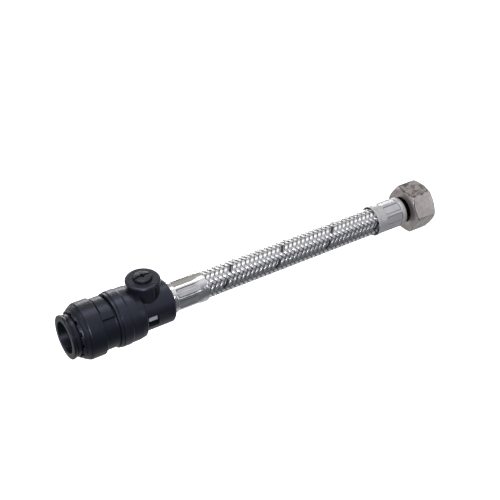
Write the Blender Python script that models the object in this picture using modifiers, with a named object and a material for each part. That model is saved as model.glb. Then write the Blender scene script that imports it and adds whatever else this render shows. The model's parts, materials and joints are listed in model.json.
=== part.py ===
"""Braided flexible supply line: 15 mm push-fit socket with a quarter-turn service valve at one end,
a stainless-braided hose with crimped ferrules, and a 1/2 in swivel nut at the other.

Frame: +X runs along the pipe and hose, from the release collet's face to the nut's end.
+Z runs up the valve stem. The origin is the middle of the bottom of the bounding box.
Dimensions are in millimetres: x from the collet's face, y, z and radii from the hose axis.
"""

import math

import bmesh
import bpy
from mathutils import Matrix, Vector

MM = 0.001

# ---- overall ----
LENGTH = 224.0          # collet face to nut end
CAP_R = 15.0            # end cap band, the widest part

# ---- push-fit socket ----
PIPE_R = 7.65           # bore that takes the 15 mm pipe
COLLET_FLANGE_R = 11.9
CAP_FRONT_X = 4.5
CAP_REAR_X = 24.3
WAIST_R = 13.5
PIPE_STOP_X = 31.5

# ---- valve ----
COLLAR_R = 14.85
COLLAR_REAR_X = 39.9
BODY_R = 11.8
BODY_FRONT_X = 18.3
BODY_REAR_X = 57.2
CHAMBER_R = 8.6
VALVE_X = 44.5          # stem axis and ball centre
BOSS_R = 8.2
BOSS_FLANGE_R = 8.95
BOSS_TOP_Z = 18.9
STEM_TOP_Z = 20.8       # crown of the slotted head, which stands out of the boss
STEM_R = 4.65
STEM_GROOVE_Z = (11.5, 13.7)
BALL_R = 6.2
WATERWAY_R = 3.6

# ---- hose and its tails; pairs of x are (start, end), pairs of radii (inner, outer) ----
TAIL_BARBS = 3
BARB_R = (4.3, 4.72)    # root and peak
TAIL_GROOVE_X = (53.0, 54.8)
FERRULE_IN = (58.2, 78.3)
FERRULE_OUT = (187.6, 206.6)
BRAID_R = (6.65, 7.35)
LINER_R = (5.05, 6.35)
HOSE_X = (60.9, 203.6)
BENDS = 6               # bend stations along the free hose
BALL_JOINT_R = 9.0      # spherical ends of the hose pieces
GAP = 0.3               # between the spherical ends

FREE_HOSE = (FERRULE_IN[1], FERRULE_OUT[0])
BEND_PITCH = (FREE_HOSE[1] - FREE_HOSE[0]) / BENDS
BEND_X = [FREE_HOSE[0] + BEND_PITCH * (i + 0.5) for i in range(BENDS)]

# ---- swivel nut ----
NUT_AF = 24.0           # across flats
NUT_X = (209.9, LENGTH)
THREAD_MINOR_R = 9.31
THREAD_MAJOR_R = 10.48
THREAD_PITCH = 1.814

# ---- materials: name: (colour, roughness, metallic) ----
BLACK = (0.040, 0.040, 0.045)
MATERIALS = {
    "black_body": (BLACK, 0.45, 0.0),
    "black_cap": (BLACK, 0.42, 0.0),
    "black_collet": (BLACK, 0.38, 0.0),
    "black_stem": ((0.05, 0.05, 0.055), 0.4, 0.0),
    "pale_acetal": ((0.60, 0.60, 0.66), 0.45, 0.0),
    "spring_steel": ((0.70, 0.69, 0.66), 0.25, 1.0),
    "nylon": ((0.72, 0.69, 0.60), 0.5, 0.0),
    "ptfe": ((0.85, 0.85, 0.83), 0.5, 0.0),
    "epdm": ((0.025, 0.025, 0.027), 0.75, 0.0),
    "chromed_ball": ((0.78, 0.78, 0.80), 0.12, 1.0),
    "brass": ((0.62, 0.46, 0.22), 0.35, 1.0),
    "ferrule_steel": ((0.66, 0.65, 0.64), 0.30, 1.0),
    "braid_steel": ((0.60, 0.60, 0.61), 0.35, 1.0),
    "nickel": ((0.52, 0.49, 0.47), 0.38, 1.0),
}

# ---- start from an empty scene ----
for ob in list(bpy.data.objects):
    bpy.data.objects.remove(ob, do_unlink=True)

parts = bpy.data.collections.new("braided_supply_line")
cutters = bpy.data.collections.new("cutters")
bpy.context.scene.collection.children.link(parts)
bpy.context.scene.collection.children.link(cutters)


def make_material(name, colour, roughness, metallic):
    mat = bpy.data.materials.new(name)
    mat.use_nodes = True
    shader = mat.node_tree.nodes["Principled BSDF"]
    shader.inputs["Base Color"].default_value = (*colour, 1.0)
    shader.inputs["Roughness"].default_value = roughness
    shader.inputs["Metallic"].default_value = metallic
    mat.diffuse_color = (*colour, 1.0)
    return mat


MAT = {name: make_material(name, *look) for name, look in MATERIALS.items()}


# ---- shape helpers ----
def add_object(name, mesh, mat=None):
    """An object with its origin on the hose axis at the collet's face.
    With a material it is a part; without one it is a cutter, a hidden helper for booleans."""
    ob = bpy.data.objects.new(name, mesh)
    if mat:
        parts.objects.link(ob)
        mesh.materials.append(MAT[mat])
    else:
        cutters.objects.link(ob)
        ob.hide_render = True
        ob.display_type = "WIRE"
    ob.location = (-LENGTH / 2 * MM, 0, CAP_R * MM)
    return ob


def turned(name, profile, steps, mat=None, upright_at=None, spin=0.0):
    """A shape turned about the hose axis from (x, r) points, or, when upright_at gives an x,
    about the vertical axis there from (z, r) points. The outer side runs from the far end to
    the near end. A profile that starts on the axis is left open there, and any other is closed.
    spin, in degrees, keeps a cutter's facet corners off the spokes of the piece it cuts."""
    mesh = bpy.data.meshes.new(name)
    cos_spin = math.cos(math.radians(spin))
    sin_spin = math.sin(math.radians(spin))
    verts = [(r * cos_spin * MM, r * sin_spin * MM, x * MM) for x, r in profile]
    edges = [(i, i + 1) for i in range(len(verts) - 1)]
    if profile[0][1] > 0:
        edges.append((len(verts) - 1, 0))
    mesh.from_pydata(verts, edges, [])
    ob = add_object(name, mesh, mat)
    if upright_at is None:
        ob.rotation_euler = (0, math.pi / 2, 0)
    else:
        ob.location.x += upright_at * MM
    screw = ob.modifiers.new("turn", "SCREW")
    screw.axis = "Z"
    screw.steps = screw.render_steps = steps
    screw.use_merge_vertices = True
    screw.merge_threshold = 0.00001
    return ob


def band(x, r):
    """The profile of a plain ring, from its x and radius ranges."""
    return [(x[1], r[1]), (x[0], r[1]), (x[0], r[0]), (x[1], r[0])]


def o_ring(name, x, ring_r, section_r, segments, upright_at=None):
    """An O-ring centred at x, or at that z when upright."""
    angles = [2 * math.pi * i / segments for i in range(segments)]
    section = [(x + section_r * math.cos(a), ring_r - section_r * math.sin(a)) for a in angles]
    turned(name, section[::-1], 24, "epdm", upright_at=upright_at)


def span(x, y, z):
    """A box from its x, y and z ranges, as (centre, size, turn)."""
    centre = tuple((low + high) / 2 for low, high in (x, y, z))
    size = tuple(high - low for low, high in (x, y, z))
    return (centre, size, 0.0)


def box_ring(centre, size, count, start):
    """Equal boxes spaced evenly about the hose axis; the first is turned by start degrees."""
    return [(centre, size, math.radians(start + 360 / count * i)) for i in range(count)]


def boxes(name, items):
    """A cutter of boxes, each (centre, size, turn about the hose axis in radians)."""
    mesh = bpy.data.meshes.new(name)
    bm = bmesh.new()
    for centre, size, turn in items:
        matrix = (
            Matrix.Rotation(turn, 4, "X")
            @ Matrix.Translation(Vector(centre) * MM)
            @ Matrix.Diagonal((size[0] * MM, size[1] * MM, size[2] * MM, 1))
        )
        bmesh.ops.create_cube(bm, size=1.0, matrix=matrix)
    bm.to_mesh(mesh)
    bm.free()
    return add_object(name, mesh)


def wedge(name, angles, reach, x):
    """A cutter: a sector of the cross-section between two angles, in degrees from -Y towards +Z,
    pulled along X over the range x."""
    arc_steps = 6
    points = [(0.0, 0.0)]
    for i in range(arc_steps + 1):
        angle = math.radians(angles[0] + (angles[1] - angles[0]) * i / arc_steps)
        points.append((-math.cos(angle) * reach, math.sin(angle) * reach))
    mesh = bpy.data.meshes.new(name)
    bm = bmesh.new()
    face = bm.faces.new([bm.verts.new((x[0] * MM, y * MM, z * MM)) for y, z in points])
    grown = bmesh.ops.extrude_face_region(bm, geom=[face])
    moved = [item for item in grown["geom"] if isinstance(item, bmesh.types.BMVert)]
    bmesh.ops.translate(bm, verts=moved, vec=((x[1] - x[0]) * MM, 0, 0))
    bmesh.ops.recalc_face_normals(bm, faces=bm.faces)
    bm.to_mesh(mesh)
    bm.free()
    return add_object(name, mesh)


def combine(ob, operation, *others):
    for other in others:
        modifier = ob.modifiers.new(operation.lower(), "BOOLEAN")
        modifier.operation = operation
        modifier.object = other
        modifier.solver = "EXACT"


def cut(ob, *others):
    combine(ob, "DIFFERENCE", *others)


def join(ob, *others):
    combine(ob, "UNION", *others)


# ---- push-fit socket ----
def build_collet():
    """Release collet: flange, second ring, slit fingers with a retaining barb."""
    end_x = 14.0
    collet = turned(
        "release_collet",
        [
            (end_x, 8.4), (13.4, 9.0), (11.2, 9.0), (11.2, 10.0), (10.7, 10.3), (9.7, 10.3),
            (9.7, 9.2), (4.4, 9.2), (4.4, 11.2), (2.1, 11.2), (2.0, 11.7),
            (1.8, COLLET_FLANGE_R), (0.4, COLLET_FLANGE_R), (0.0, 11.5), (0.0, 8.05),
            (0.4, PIPE_R), (end_x, PIPE_R),
        ],
        36, "black_collet",
    )
    slits = box_ring(centre=(10.4, 9.2, 0.0), size=(8.0, 4.4, 1.1), count=6, start=30)
    cut(collet, boxes("collet_slits", slits))


def cap_sector(name, x, r, wedge_name, angles, reach=30, wedge_end_x=24.0):
    """A cutter: part of a plain ring around the cap's waist, between two angles."""
    ring = turned(name, band(x, r), 36)
    combine(ring, "INTERSECT", wedge(wedge_name, angles, reach, (16.0, wedge_end_x)))
    return ring


def build_cap():
    """End cap: bevelled front, band, waist with two raised lands and two slots."""
    cap = turned(
        "end_cap",
        [
            (CAP_REAR_X, WAIST_R), (16.9, WAIST_R), (16.9, 14.6), (16.4, CAP_R), (9.2, CAP_R),
            (8.5, 14.75), (8.4, 14.3), (8.0, 14.3), (7.9, 14.5), (5.0, 12.55),
            (CAP_FRONT_X, 12.25), (CAP_FRONT_X, 11.7), (7.0, 11.7), (7.0, 9.6), (9.2, 9.6),
            (9.2, 10.7), (16.2, 10.7), (16.2, 12.3), (CAP_REAR_X, 12.3),
        ],
        36, "black_cap",
    )
    root_r = 12.9           # inside the waist's wall
    slot_top_r = 16.0       # clear of the cap
    flush_land = cap_sector(
        "flush_land", (16.5, 23.5), (root_r, 14.85), "flush_sector", (47, 63), reach=22
    )
    strap_land = cap_sector(
        "strap_land", (16.6, 23.5), (root_r, 14.1), "strap_sector", (62, 126)
    )
    front_slot = cap_sector(
        "front_slot", (16.95, 17.45), (root_r, slot_top_r), "front_slot_sector", (63, 117)
    )
    rear_slot = cap_sector(
        "rear_slot", (23.2, 24.6), (12.75, slot_top_r), "rear_slot_sector", (62, 118),
        wedge_end_x=25.0,
    )
    join(cap, flush_land, strap_land)
    cut(cap, front_slot, rear_slot)


def build_grab_ring():
    grab = turned(
        "grab_ring",
        [(16.9, 12.0), (16.5, 12.0), (16.5, 9.0), (18.3, 7.72), (18.55, 8.0), (16.9, 9.3)],
        36, "spring_steel",
    )
    slits = box_ring(centre=(17.6, 8.7, 0.0), size=(3.4, 3.4, 1.0), count=12, start=15)
    cut(grab, boxes("grab_slits", slits))


def build_pipe_seal():
    """Spacer ring and the O-ring behind it."""
    turned(
        "spacer_ring",
        [
            (20.9, 10.3), (18.0, 10.3), (18.0, 12.0), (17.2, 12.0),
            (17.2, 9.6), (19.4, 9.6), (19.4, 7.9), (20.9, 7.9),
        ],
        28, "nylon",
    )
    o_ring("pipe_seal_o_ring", x=22.6, ring_r=8.97, section_r=1.27, segments=8)


# ---- valve ----
def body_bore():
    """Cutter: seal pocket, pipe bore, narrow waterway and valve chamber."""
    throat_r, pipe_bore_r, seal_pocket_r = 5.6, 7.8, 10.6
    throat_end_x, pocket_end_x = 36.6, 24.2
    open_x = (16.0, BODY_REAR_X + 2)    # beyond both ends of the body
    return turned(
        "body_bore",
        [
            (open_x[1], 0.0), (open_x[1], CHAMBER_R), (throat_end_x, CHAMBER_R),
            (throat_end_x, throat_r), (PIPE_STOP_X, throat_r), (PIPE_STOP_X, pipe_bore_r),
            (pocket_end_x, pipe_bore_r), (pocket_end_x, seal_pocket_r),
            (open_x[0], seal_pocket_r), (open_x[0], 0.0),
        ],
        36, spin=3.1,
    )


def closed_mark(name, x, y):
    """Cutter: a round dimple in the boss's top, at x and y from the stem axis."""
    radius, foot_z, top_z = 0.55, 18.5, 19.5
    profile = [(top_z, 0.0), (top_z, radius), (foot_z, radius), (foot_z, 0.0)]
    mark = turned(name, profile, 12, upright_at=VALVE_X)
    mark.location += Vector((x, y, 0)) * MM
    return mark


def build_body():
    """Valve body with its upright boss, side windows and a slot underneath."""
    body = turned(
        "valve_body",
        [
            (BODY_REAR_X, 0.0), (BODY_REAR_X, 11.1), (56.9, 11.6), (56.3, BODY_R),
            (40.1, BODY_R), (COLLAR_REAR_X, 13.6), (39.4, 13.95), (36.5, 14.4), (36.3, 14.52),
            (31.3, 14.55), (30.8, COLLAR_R), (26.5, COLLAR_R), (26.3, 14.3), (25.9, 14.3),
            (25.8, 14.6), (24.8, 14.5), (24.65, 14.2), (24.65, 12.0), (BODY_FRONT_X, 12.0),
            (BODY_FRONT_X, 0.0),
        ],
        36, "black_body",
    )
    bore = body_bore()
    boss_foot_z = 4.0
    boss = turned(
        "boss",
        [
            (BOSS_TOP_Z, 0.0), (BOSS_TOP_Z, BOSS_FLANGE_R - 0.3),
            (BOSS_TOP_Z - 0.3, BOSS_FLANGE_R), (BOSS_TOP_Z - 1.5, BOSS_FLANGE_R),
            (BOSS_TOP_Z - 2.0, BOSS_R), (boss_foot_z, BOSS_R), (boss_foot_z, 0.0),
        ],
        32, upright_at=VALVE_X, spin=1.3,
    )
    stem_bore = turned(
        "stem_bore",
        [(22.0, 0.0), (22.0, 4.95), (8.75, 4.95), (8.75, 5.75), (5.0, 5.75), (5.0, 0.0)],
        24, upright_at=VALVE_X, spin=2.6,
    )
    marks = closed_mark("closed_marks", x=-1.25, y=6.95)
    marks_b = closed_mark("closed_marks_b", x=2.6, y=-6.5)
    window_x, window_z = (40.85, 46.85), (-3.6, 2.4)
    windows = boxes(
        "windows",
        [
            span(window_x, (-14, -7.25), window_z),
            span(window_x, (7.25, 14), window_z),
            span((41.1, 43.3), (-7.9, 7.9), (-14, -7.0)),
        ],
    )
    join(body, boss)
    cut(body, bore, stem_bore, windows, marks, marks_b)


def build_ball_seats():
    turned(
        "ball_seat_inlet",
        [
            (40.3, 7.2), (38.8, 7.2), (38.8, 8.2), (37.0, 8.2),
            (37.0, 3.9), (39.2, 3.9), (40.3, 5.2),
        ],
        24, "ptfe",
    )
    turned(
        "ball_seat_outlet",
        [(52.0, 6.7), (48.7, 6.7), (48.7, 5.2), (49.8, 3.9), (52.0, 3.9)],
        24, "ptfe",
    )


def build_ball():
    """Ball with its waterway along X and a slot across the top for the stem's tang."""
    arc_steps = 8
    bore_angle = math.degrees(math.asin(WATERWAY_R / BALL_R))
    profile = []
    for i in range(arc_steps + 1):
        angle = math.radians(bore_angle + (180 - 2 * bore_angle) * i / arc_steps)
        profile.append((VALVE_X + BALL_R * math.cos(angle), BALL_R * math.sin(angle)))
    ball = turned("valve_ball", profile, 24, "chromed_ball")
    slot = span((VALVE_X - 8, VALVE_X + 8), (-1.35, 1.35), (4.2, 8.0))
    cut(ball, boxes("ball_slot", [slot]))


def build_stem():
    """Stem with a slotted head, an O-ring groove, a wider foot and a tang."""
    groove_r = 3.25
    foot_r, foot_z = 5.4, (7.6, 8.4)
    stem = turned(
        "valve_stem",
        [
            (STEM_TOP_Z, 0.0), (STEM_TOP_Z - 0.1, 2.3), (STEM_TOP_Z - 0.4, 4.1),
            (STEM_TOP_Z - 0.8, 4.6), (STEM_GROOVE_Z[1], STEM_R), (STEM_GROOVE_Z[1], groove_r),
            (STEM_GROOVE_Z[0], groove_r), (STEM_GROOVE_Z[0], STEM_R), (foot_z[1], STEM_R),
            (foot_z[1], foot_r), (foot_z[0], foot_r), (foot_z[0], 0.0),
        ],
        24, "black_stem", upright_at=VALVE_X,
    )
    clear_z = 22.0          # above the head
    tang = boxes("stem_tang", [span((VALVE_X - 3.0, VALVE_X + 3.0), (-1.0, 1.0), (4.6, 8.1))])
    slot = boxes(
        "driver_slot",
        [span((VALVE_X - 6.0, VALVE_X + 6.0), (-0.6, 0.6), (STEM_TOP_Z - 2.2, clear_z))],
    )
    # A square recess in the middle of the slot, turned corner-on.
    eye = boxes(
        "driver_eye", [span((-1.15, 1.15), (-1.15, 1.15), (STEM_TOP_Z - 2.4, clear_z))]
    )
    eye.location.x += VALVE_X * MM
    eye.rotation_euler = (0, 0, math.pi / 4)
    join(stem, tang)
    cut(stem, slot, eye)
    o_ring(
        "stem_o_ring", x=sum(STEM_GROOVE_Z) / 2, ring_r=4.1, section_r=0.52, segments=6,
        upright_at=VALVE_X,
    )


def build_retainer():
    """Pale retainer: ring, three arms and the snap tabs seen in the body's windows."""
    retainer = turned(
        "tail_retainer",
        [(56.8, 8.3), (48.0, 8.3), (48.0, 7.0), (55.6, 7.0), (55.6, 5.6), (56.8, 5.6)],
        28, "pale_acetal",
    )
    arm_x, arm_width = (41.4, 48.6), (-2.4, 2.4)
    arms = boxes(
        "retainer_arms",
        [
            span(arm_x, (-7.9, -7.05), arm_width),
            span(arm_x, (7.05, 7.9), arm_width),
            span(arm_x, arm_width, (-7.9, -7.05)),
        ],
    )
    tab_x, tab_z = (41.5, 46.3), (-0.7, 2.1)
    tabs = boxes(
        "retainer_tabs", [span(tab_x, (-10.9, -7.5), tab_z), span(tab_x, (7.5, 10.9), tab_z)]
    )
    # The curved bridge fills the slot under the body.
    bridge = turned("retainer_bridge", band((41.4, 43.0), (7.2, 11.4)), 48)
    bounds = boxes("bridge_bounds", [span((40.0, 44.0), (-7.5, 7.5), (-14, -7.3))])
    combine(bridge, "INTERSECT", bounds)
    join(retainer, arms, tabs, bridge)
    relief = span((46.0, 50.4), (-4.7, 4.7), (5.0, 10.0))
    cut(retainer, boxes("stem_foot_relief", [relief]))


# ---- hose tails and ferrules ----
def barbs(start_x, end_x, peaks_at_start):
    """A barbed shank in turning order, from end_x back to start_x. Each barb peaks at its
    start_x side, which locks against a pull towards +X, or else at its end_x side."""
    root_r, peak_r = BARB_R
    peak_width = 0.35
    pitch = (end_x - start_x) / TAIL_BARBS
    points = []
    for i in range(TAIL_BARBS):
        high_x = end_x - i * pitch
        low_x = high_x - pitch
        if peaks_at_start:
            points += [(high_x, root_r), (low_x + peak_width, peak_r), (low_x, peak_r)]
        else:
            points += [(high_x, peak_r), (high_x - peak_width, peak_r), (low_x, root_r)]
    return points


def build_hose_tail():
    """Barbed tail at the valve, with its O-ring in a groove."""
    groove_x = TAIL_GROOVE_X
    start_x, end_x = 52.4, 78.6
    turned(
        "hose_tail",
        [(end_x, 4.0)]
        + barbs(61.6, 78.0, peaks_at_start=True)
        + [
            (61.6, 4.5), (60.6, 4.5), (60.6, 6.2), (59.6, 6.2), (59.6, 5.2), (55.3, 5.2),
            (55.3, 6.7), (groove_x[1], 6.7), (groove_x[1], 5.0), (groove_x[0], 5.0),
            (groove_x[0], 6.7), (start_x, 6.7), (start_x, WATERWAY_R), (end_x, WATERWAY_R),
        ],
        24, "brass",
    )
    o_ring("tail_o_ring", x=sum(groove_x) / 2, ring_r=5.95, section_r=0.62, segments=6)


def crimps(name, start_x, end_x, floor_r, start):
    """Cutter: eight flat crimp panels, the first turned by start degrees from -Y."""
    width, depth = 4.3, 3.0
    centre = ((start_x + end_x) / 2, -(floor_r + depth / 2), 0.0)
    return boxes(name, box_ring(centre, (end_x - start_x, depth, width), count=8, start=start))


def build_ferrules():
    inside_r, lip_r = 7.65, 5.5
    outer_r = 8.35
    start_x, end_x = FERRULE_IN
    inlet = turned(
        "ferrule_inlet",
        [
            (end_x, 8.05), (78.0, outer_r), (59.0, outer_r), (58.4, 8.1), (start_x, 7.5),
            (start_x, lip_r), (59.2, lip_r), (59.2, inside_r), (end_x, inside_r),
        ],
        32, "ferrule_steel",
    )
    cut(inlet, crimps("inlet_crimps", 60.9, 74.4, floor_r=7.95, start=-43.5))

    start_x, end_x = FERRULE_OUT
    outlet = turned(
        "ferrule_outlet",
        [
            (end_x, 7.0), (206.4, 7.6), (205.6, 8.05), (204.8, 8.25), (190.3, 8.25),
            (189.6, 8.5), (187.9, 8.55), (start_x, 8.4), (start_x, 8.0), (189.0, inside_r),
            (205.4, inside_r), (205.4, lip_r), (end_x, lip_r),
        ],
        32, "ferrule_steel",
    )
    cut(outlet, crimps("outlet_crimps", 193.9, 204.6, floor_r=7.92, start=-16))


# ---- hose ----
def sphere_end(station_x, sphere_r, r):
    """The x, at radius r, of a sphere centred on the axis at a bend station."""
    return station_x + math.sqrt(sphere_r * sphere_r - r * r)


def hose_piece(name, radii, start_bend, end_bend, steps, mat):
    """A tube between two bend stations, given by index, or None for the hose's plain end."""
    r_in, r_out = radii
    rise = [r_in + (r_out - r_in) * i / 2 for i in range(3)]
    if start_bend is None:
        start = [(HOSE_X[0], r_out), (HOSE_X[0], r_in)]
    else:
        station = BEND_X[start_bend]
        start = [(sphere_end(station, BALL_JOINT_R + GAP, r), r) for r in rise[::-1]]
    if end_bend is None:
        end = [(HOSE_X[1], r_in), (HOSE_X[1], r_out)]
    else:
        end = [(sphere_end(BEND_X[end_bend], BALL_JOINT_R, r), r) for r in rise]
    turned(name, [end[-1]] + start + end[:-1], steps, mat)


def build_hose():
    """Liner and braid sleeve, in pieces that meet at spherical ends on the bend stations."""
    for k in range(BENDS + 1):
        start_bend = None if k == 0 else k - 1
        end_bend = None if k == BENDS else k
        hose_piece(f"hose_liner_{k + 1}", LINER_R, start_bend, end_bend, 20, "epdm")
        hose_piece(f"hose_braid_{k + 1}", BRAID_R, start_bend, end_bend, 24, "braid_steel")


# ---- nut end ----
def build_nut_tail():
    """Flanged, barbed tail that the nut swivels on."""
    end_x = 214.5
    turned(
        "nut_tail",
        [
            (end_x, 8.7), (214.2, 9.0), (212.9, 9.0), (212.7, 8.8), (212.7, 5.2),
            (204.9, 5.2), (204.9, 6.2), (203.9, 6.2), (203.9, 4.5), (202.9, 4.5),
        ]
        + barbs(188.5, 202.9, peaks_at_start=False)
        + [(187.9, 4.0), (187.9, WATERWAY_R), (end_x, WATERWAY_R)],
        24, "brass",
    )


def nut_bore():
    """Cutter: flared mouth, thread ridges, flange chamber and the hole for the tail."""
    start_x, end_x = NUT_X
    chamber_r, chamber_start_x = 9.6, 212.4
    thread_limit_x = 216.9
    tail_hole_r = 7.7
    thread = []
    thread_x = end_x - 0.9
    while thread_x - THREAD_PITCH > thread_limit_x:
        thread.append((thread_x, THREAD_MINOR_R))
        thread.append((thread_x - THREAD_PITCH / 2, THREAD_MAJOR_R))
        thread_x -= THREAD_PITCH
    return turned(
        "nut_bore",
        [(end_x + 1.0, 0.0), (end_x + 1.0, 10.9), (end_x, 10.7)]
        + thread
        + [
            (thread_x, THREAD_MINOR_R), (thread_x - 0.1, chamber_r),
            (chamber_start_x, chamber_r), (chamber_start_x, tail_hole_r),
            (start_x - 1.0, tail_hole_r), (start_x - 1.0, 0.0),
        ],
        32,
    )


def build_nut():
    """Loose hexagon nut with turned-down corners."""
    start_x, end_x = NUT_X
    corner_r = NUT_AF / math.sqrt(3) * MM
    mesh = bpy.data.meshes.new("swivel_nut")
    bm = bmesh.new()
    bmesh.ops.create_cone(
        bm,
        cap_ends=True,
        segments=6,
        radius1=corner_r,
        radius2=corner_r,
        depth=(end_x - start_x) * MM,
        matrix=Matrix.Translation(((start_x + end_x) / 2 * MM, 0, 0))
        @ Matrix.Rotation(math.pi / 2, 4, "Y"),
    )
    bm.to_mesh(mesh)
    bm.free()
    nut = add_object("swivel_nut", mesh, "nickel")
    overlap = 0.001         # keeps the form's ends off the nut's end faces
    corner_form = turned(
        "nut_corner_form",
        [
            (end_x + overlap, 0.0), (end_x + overlap, 11.5), (end_x - 1.5, 13.5),
            (start_x + 1.0, 13.6), (start_x - overlap, 12.0), (start_x - overlap, 0.0),
        ],
        36,
    )
    combine(nut, "INTERSECT", corner_form)
    cut(nut, nut_bore())


def build_washer():
    turned("nut_washer", band((214.8, 216.8), (5.0, 9.1)), 28, "epdm")


def settle_parts():
    """Turn every part's modifiers into plain mesh and shade the round faces smooth."""
    depsgraph = bpy.context.evaluated_depsgraph_get()
    bpy.context.view_layer.update()
    finished = {}
    for ob in parts.objects:
        finished[ob.name] = bpy.data.meshes.new_from_object(
            ob.evaluated_get(depsgraph), depsgraph=depsgraph
        )
    for ob in parts.objects:
        mesh = finished[ob.name]
        ob.modifiers.clear()
        ob.data = mesh
        mesh.name = ob.name
        mesh.shade_smooth()
        mesh.set_sharp_from_angle(angle=math.radians(35))


build_collet()
build_cap()
build_grab_ring()
build_pipe_seal()
build_body()
build_ball_seats()
build_ball()
build_stem()
build_retainer()
build_hose_tail()
build_ferrules()
build_hose()
build_nut_tail()
build_nut()
build_washer()
settle_parts()
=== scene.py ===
"""Looks for the braided supply line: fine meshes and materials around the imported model.

Lengths in this file are millimetres on the hose axis, from the release collet's face, and angles run from -Y towards +Z.
"""

import json
import math

import bmesh
import bpy
import numpy as np
from mathutils import Matrix, Vector

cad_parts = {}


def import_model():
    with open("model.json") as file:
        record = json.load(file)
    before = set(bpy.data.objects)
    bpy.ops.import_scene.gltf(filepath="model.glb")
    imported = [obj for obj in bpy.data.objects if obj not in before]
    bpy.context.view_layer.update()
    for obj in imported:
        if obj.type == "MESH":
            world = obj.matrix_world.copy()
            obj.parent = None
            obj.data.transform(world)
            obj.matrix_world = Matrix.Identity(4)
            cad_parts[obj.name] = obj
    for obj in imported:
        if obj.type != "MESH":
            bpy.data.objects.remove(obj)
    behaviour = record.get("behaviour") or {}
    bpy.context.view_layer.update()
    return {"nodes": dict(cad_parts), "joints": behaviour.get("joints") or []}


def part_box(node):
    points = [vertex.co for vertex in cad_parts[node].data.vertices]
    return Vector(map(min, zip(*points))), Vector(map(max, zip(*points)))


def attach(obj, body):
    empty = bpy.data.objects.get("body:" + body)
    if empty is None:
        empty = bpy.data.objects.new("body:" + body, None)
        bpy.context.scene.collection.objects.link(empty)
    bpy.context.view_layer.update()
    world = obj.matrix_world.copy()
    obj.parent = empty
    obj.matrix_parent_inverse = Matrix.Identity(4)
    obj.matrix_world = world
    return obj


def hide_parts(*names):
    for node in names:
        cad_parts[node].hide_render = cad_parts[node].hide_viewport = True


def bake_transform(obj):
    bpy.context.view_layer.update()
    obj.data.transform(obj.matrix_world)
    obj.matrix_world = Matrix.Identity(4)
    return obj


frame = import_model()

MM = 0.001
FACE_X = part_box("release_collet")[0].x
AXIS_Z = (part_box("end_cap")[0].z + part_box("end_cap")[1].z) / 2


def along(node, side):
    """A node's lowest (0) or highest (1) place along the hose, in millimetres from the collet's face."""
    return (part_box(node)[side].x - FACE_X) / MM


def world(p):
    q = np.array(p, float) * MM
    q[..., 0] += FACE_X
    q[..., 2] += AXIS_Z
    return q


VALVE_X = (along("valve_stem", 0) + along("valve_stem", 1)) / 2
HOSE_IN = along("ferrule_inlet", 1)
HOSE_OUT = along("ferrule_outlet", 0)
bends = sorted(
    ((j["pos_m"][0] - FACE_X) / MM for j in frame["joints"] if j["name"].startswith("hose_bend"))
)
PITCH = bends[1] - bends[0]
scene = bpy.context.scene


# ------------------------------------------------------------------ mesh helpers


def new_mesh(name, verts, quads, polys=(), materials=None, quad_material=None, poly_material=None):
    """A mesh from arrays: quads as (n, 4) indices, polys as a list of longer rings."""
    verts = np.asarray(verts, np.float32)
    quads = np.asarray(quads, np.int32).reshape(-1, 4)
    mesh = bpy.data.meshes.new(name)
    loops = [quads.ravel()] + [np.asarray(p, np.int32) for p in polys]
    totals = np.concatenate([np.full(len(quads), 4), np.array([len(p) for p in polys], int)]).astype(np.int32)
    starts = np.concatenate([[0], np.cumsum(totals)[:-1]]).astype(np.int32)
    flat = np.concatenate(loops).astype(np.int32)
    mesh.vertices.add(len(verts))
    mesh.vertices.foreach_set("co", verts.ravel())
    mesh.loops.add(len(flat))
    mesh.loops.foreach_set("vertex_index", flat)
    mesh.polygons.add(len(totals))
    mesh.polygons.foreach_set("loop_start", starts)
    mesh.update(calc_edges=True)
    for m in materials or []:
        mesh.materials.append(m)
    if quad_material is not None:
        index = np.concatenate([quad_material, poly_material if poly_material is not None else []]).astype(np.int32)
        mesh.polygons.foreach_set("material_index", index)
    return mesh


def volume_sign(mesh):
    mesh.calc_loop_triangles()
    t = np.empty(len(mesh.loop_triangles) * 3, np.int32)
    mesh.loop_triangles.foreach_get("vertices", t)
    co = np.empty(len(mesh.vertices) * 3, np.float32)
    mesh.vertices.foreach_get("co", co)
    co = co.reshape(-1, 3).astype(float)
    co -= co.mean(0)
    a, b, c = (co[t.reshape(-1, 3)[:, i]] for i in range(3))
    return np.sign((np.cross(a, b) * c).sum())


def tidy(mesh, merge=2e-7, outward=True):
    bm = bmesh.new()
    bm.from_mesh(mesh)
    bmesh.ops.remove_doubles(bm, verts=bm.verts, dist=merge)
    bmesh.ops.dissolve_degenerate(bm, edges=bm.edges, dist=merge)
    loose = [v for v in bm.verts if not v.link_faces]
    if loose:
        bmesh.ops.delete(bm, geom=loose, context="VERTS")
    bm.to_mesh(mesh)
    bm.free()
    if outward and volume_sign(mesh) < 0:
        mesh.flip_normals()
    return mesh


def ring_grid(n_turn, n_prof, base=0, closed=True):
    i = np.arange(n_turn)
    j = np.arange(n_prof if closed else n_prof - 1)
    a, b = np.meshgrid(i, j, indexing="ij")
    a2, b2 = (a + 1) % n_turn, (b + 1) % n_prof
    q = np.stack([a * n_prof + b, a2 * n_prof + b, a2 * n_prof + b2, a * n_prof + b2], -1)
    return q.reshape(-1, 4) + base


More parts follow.
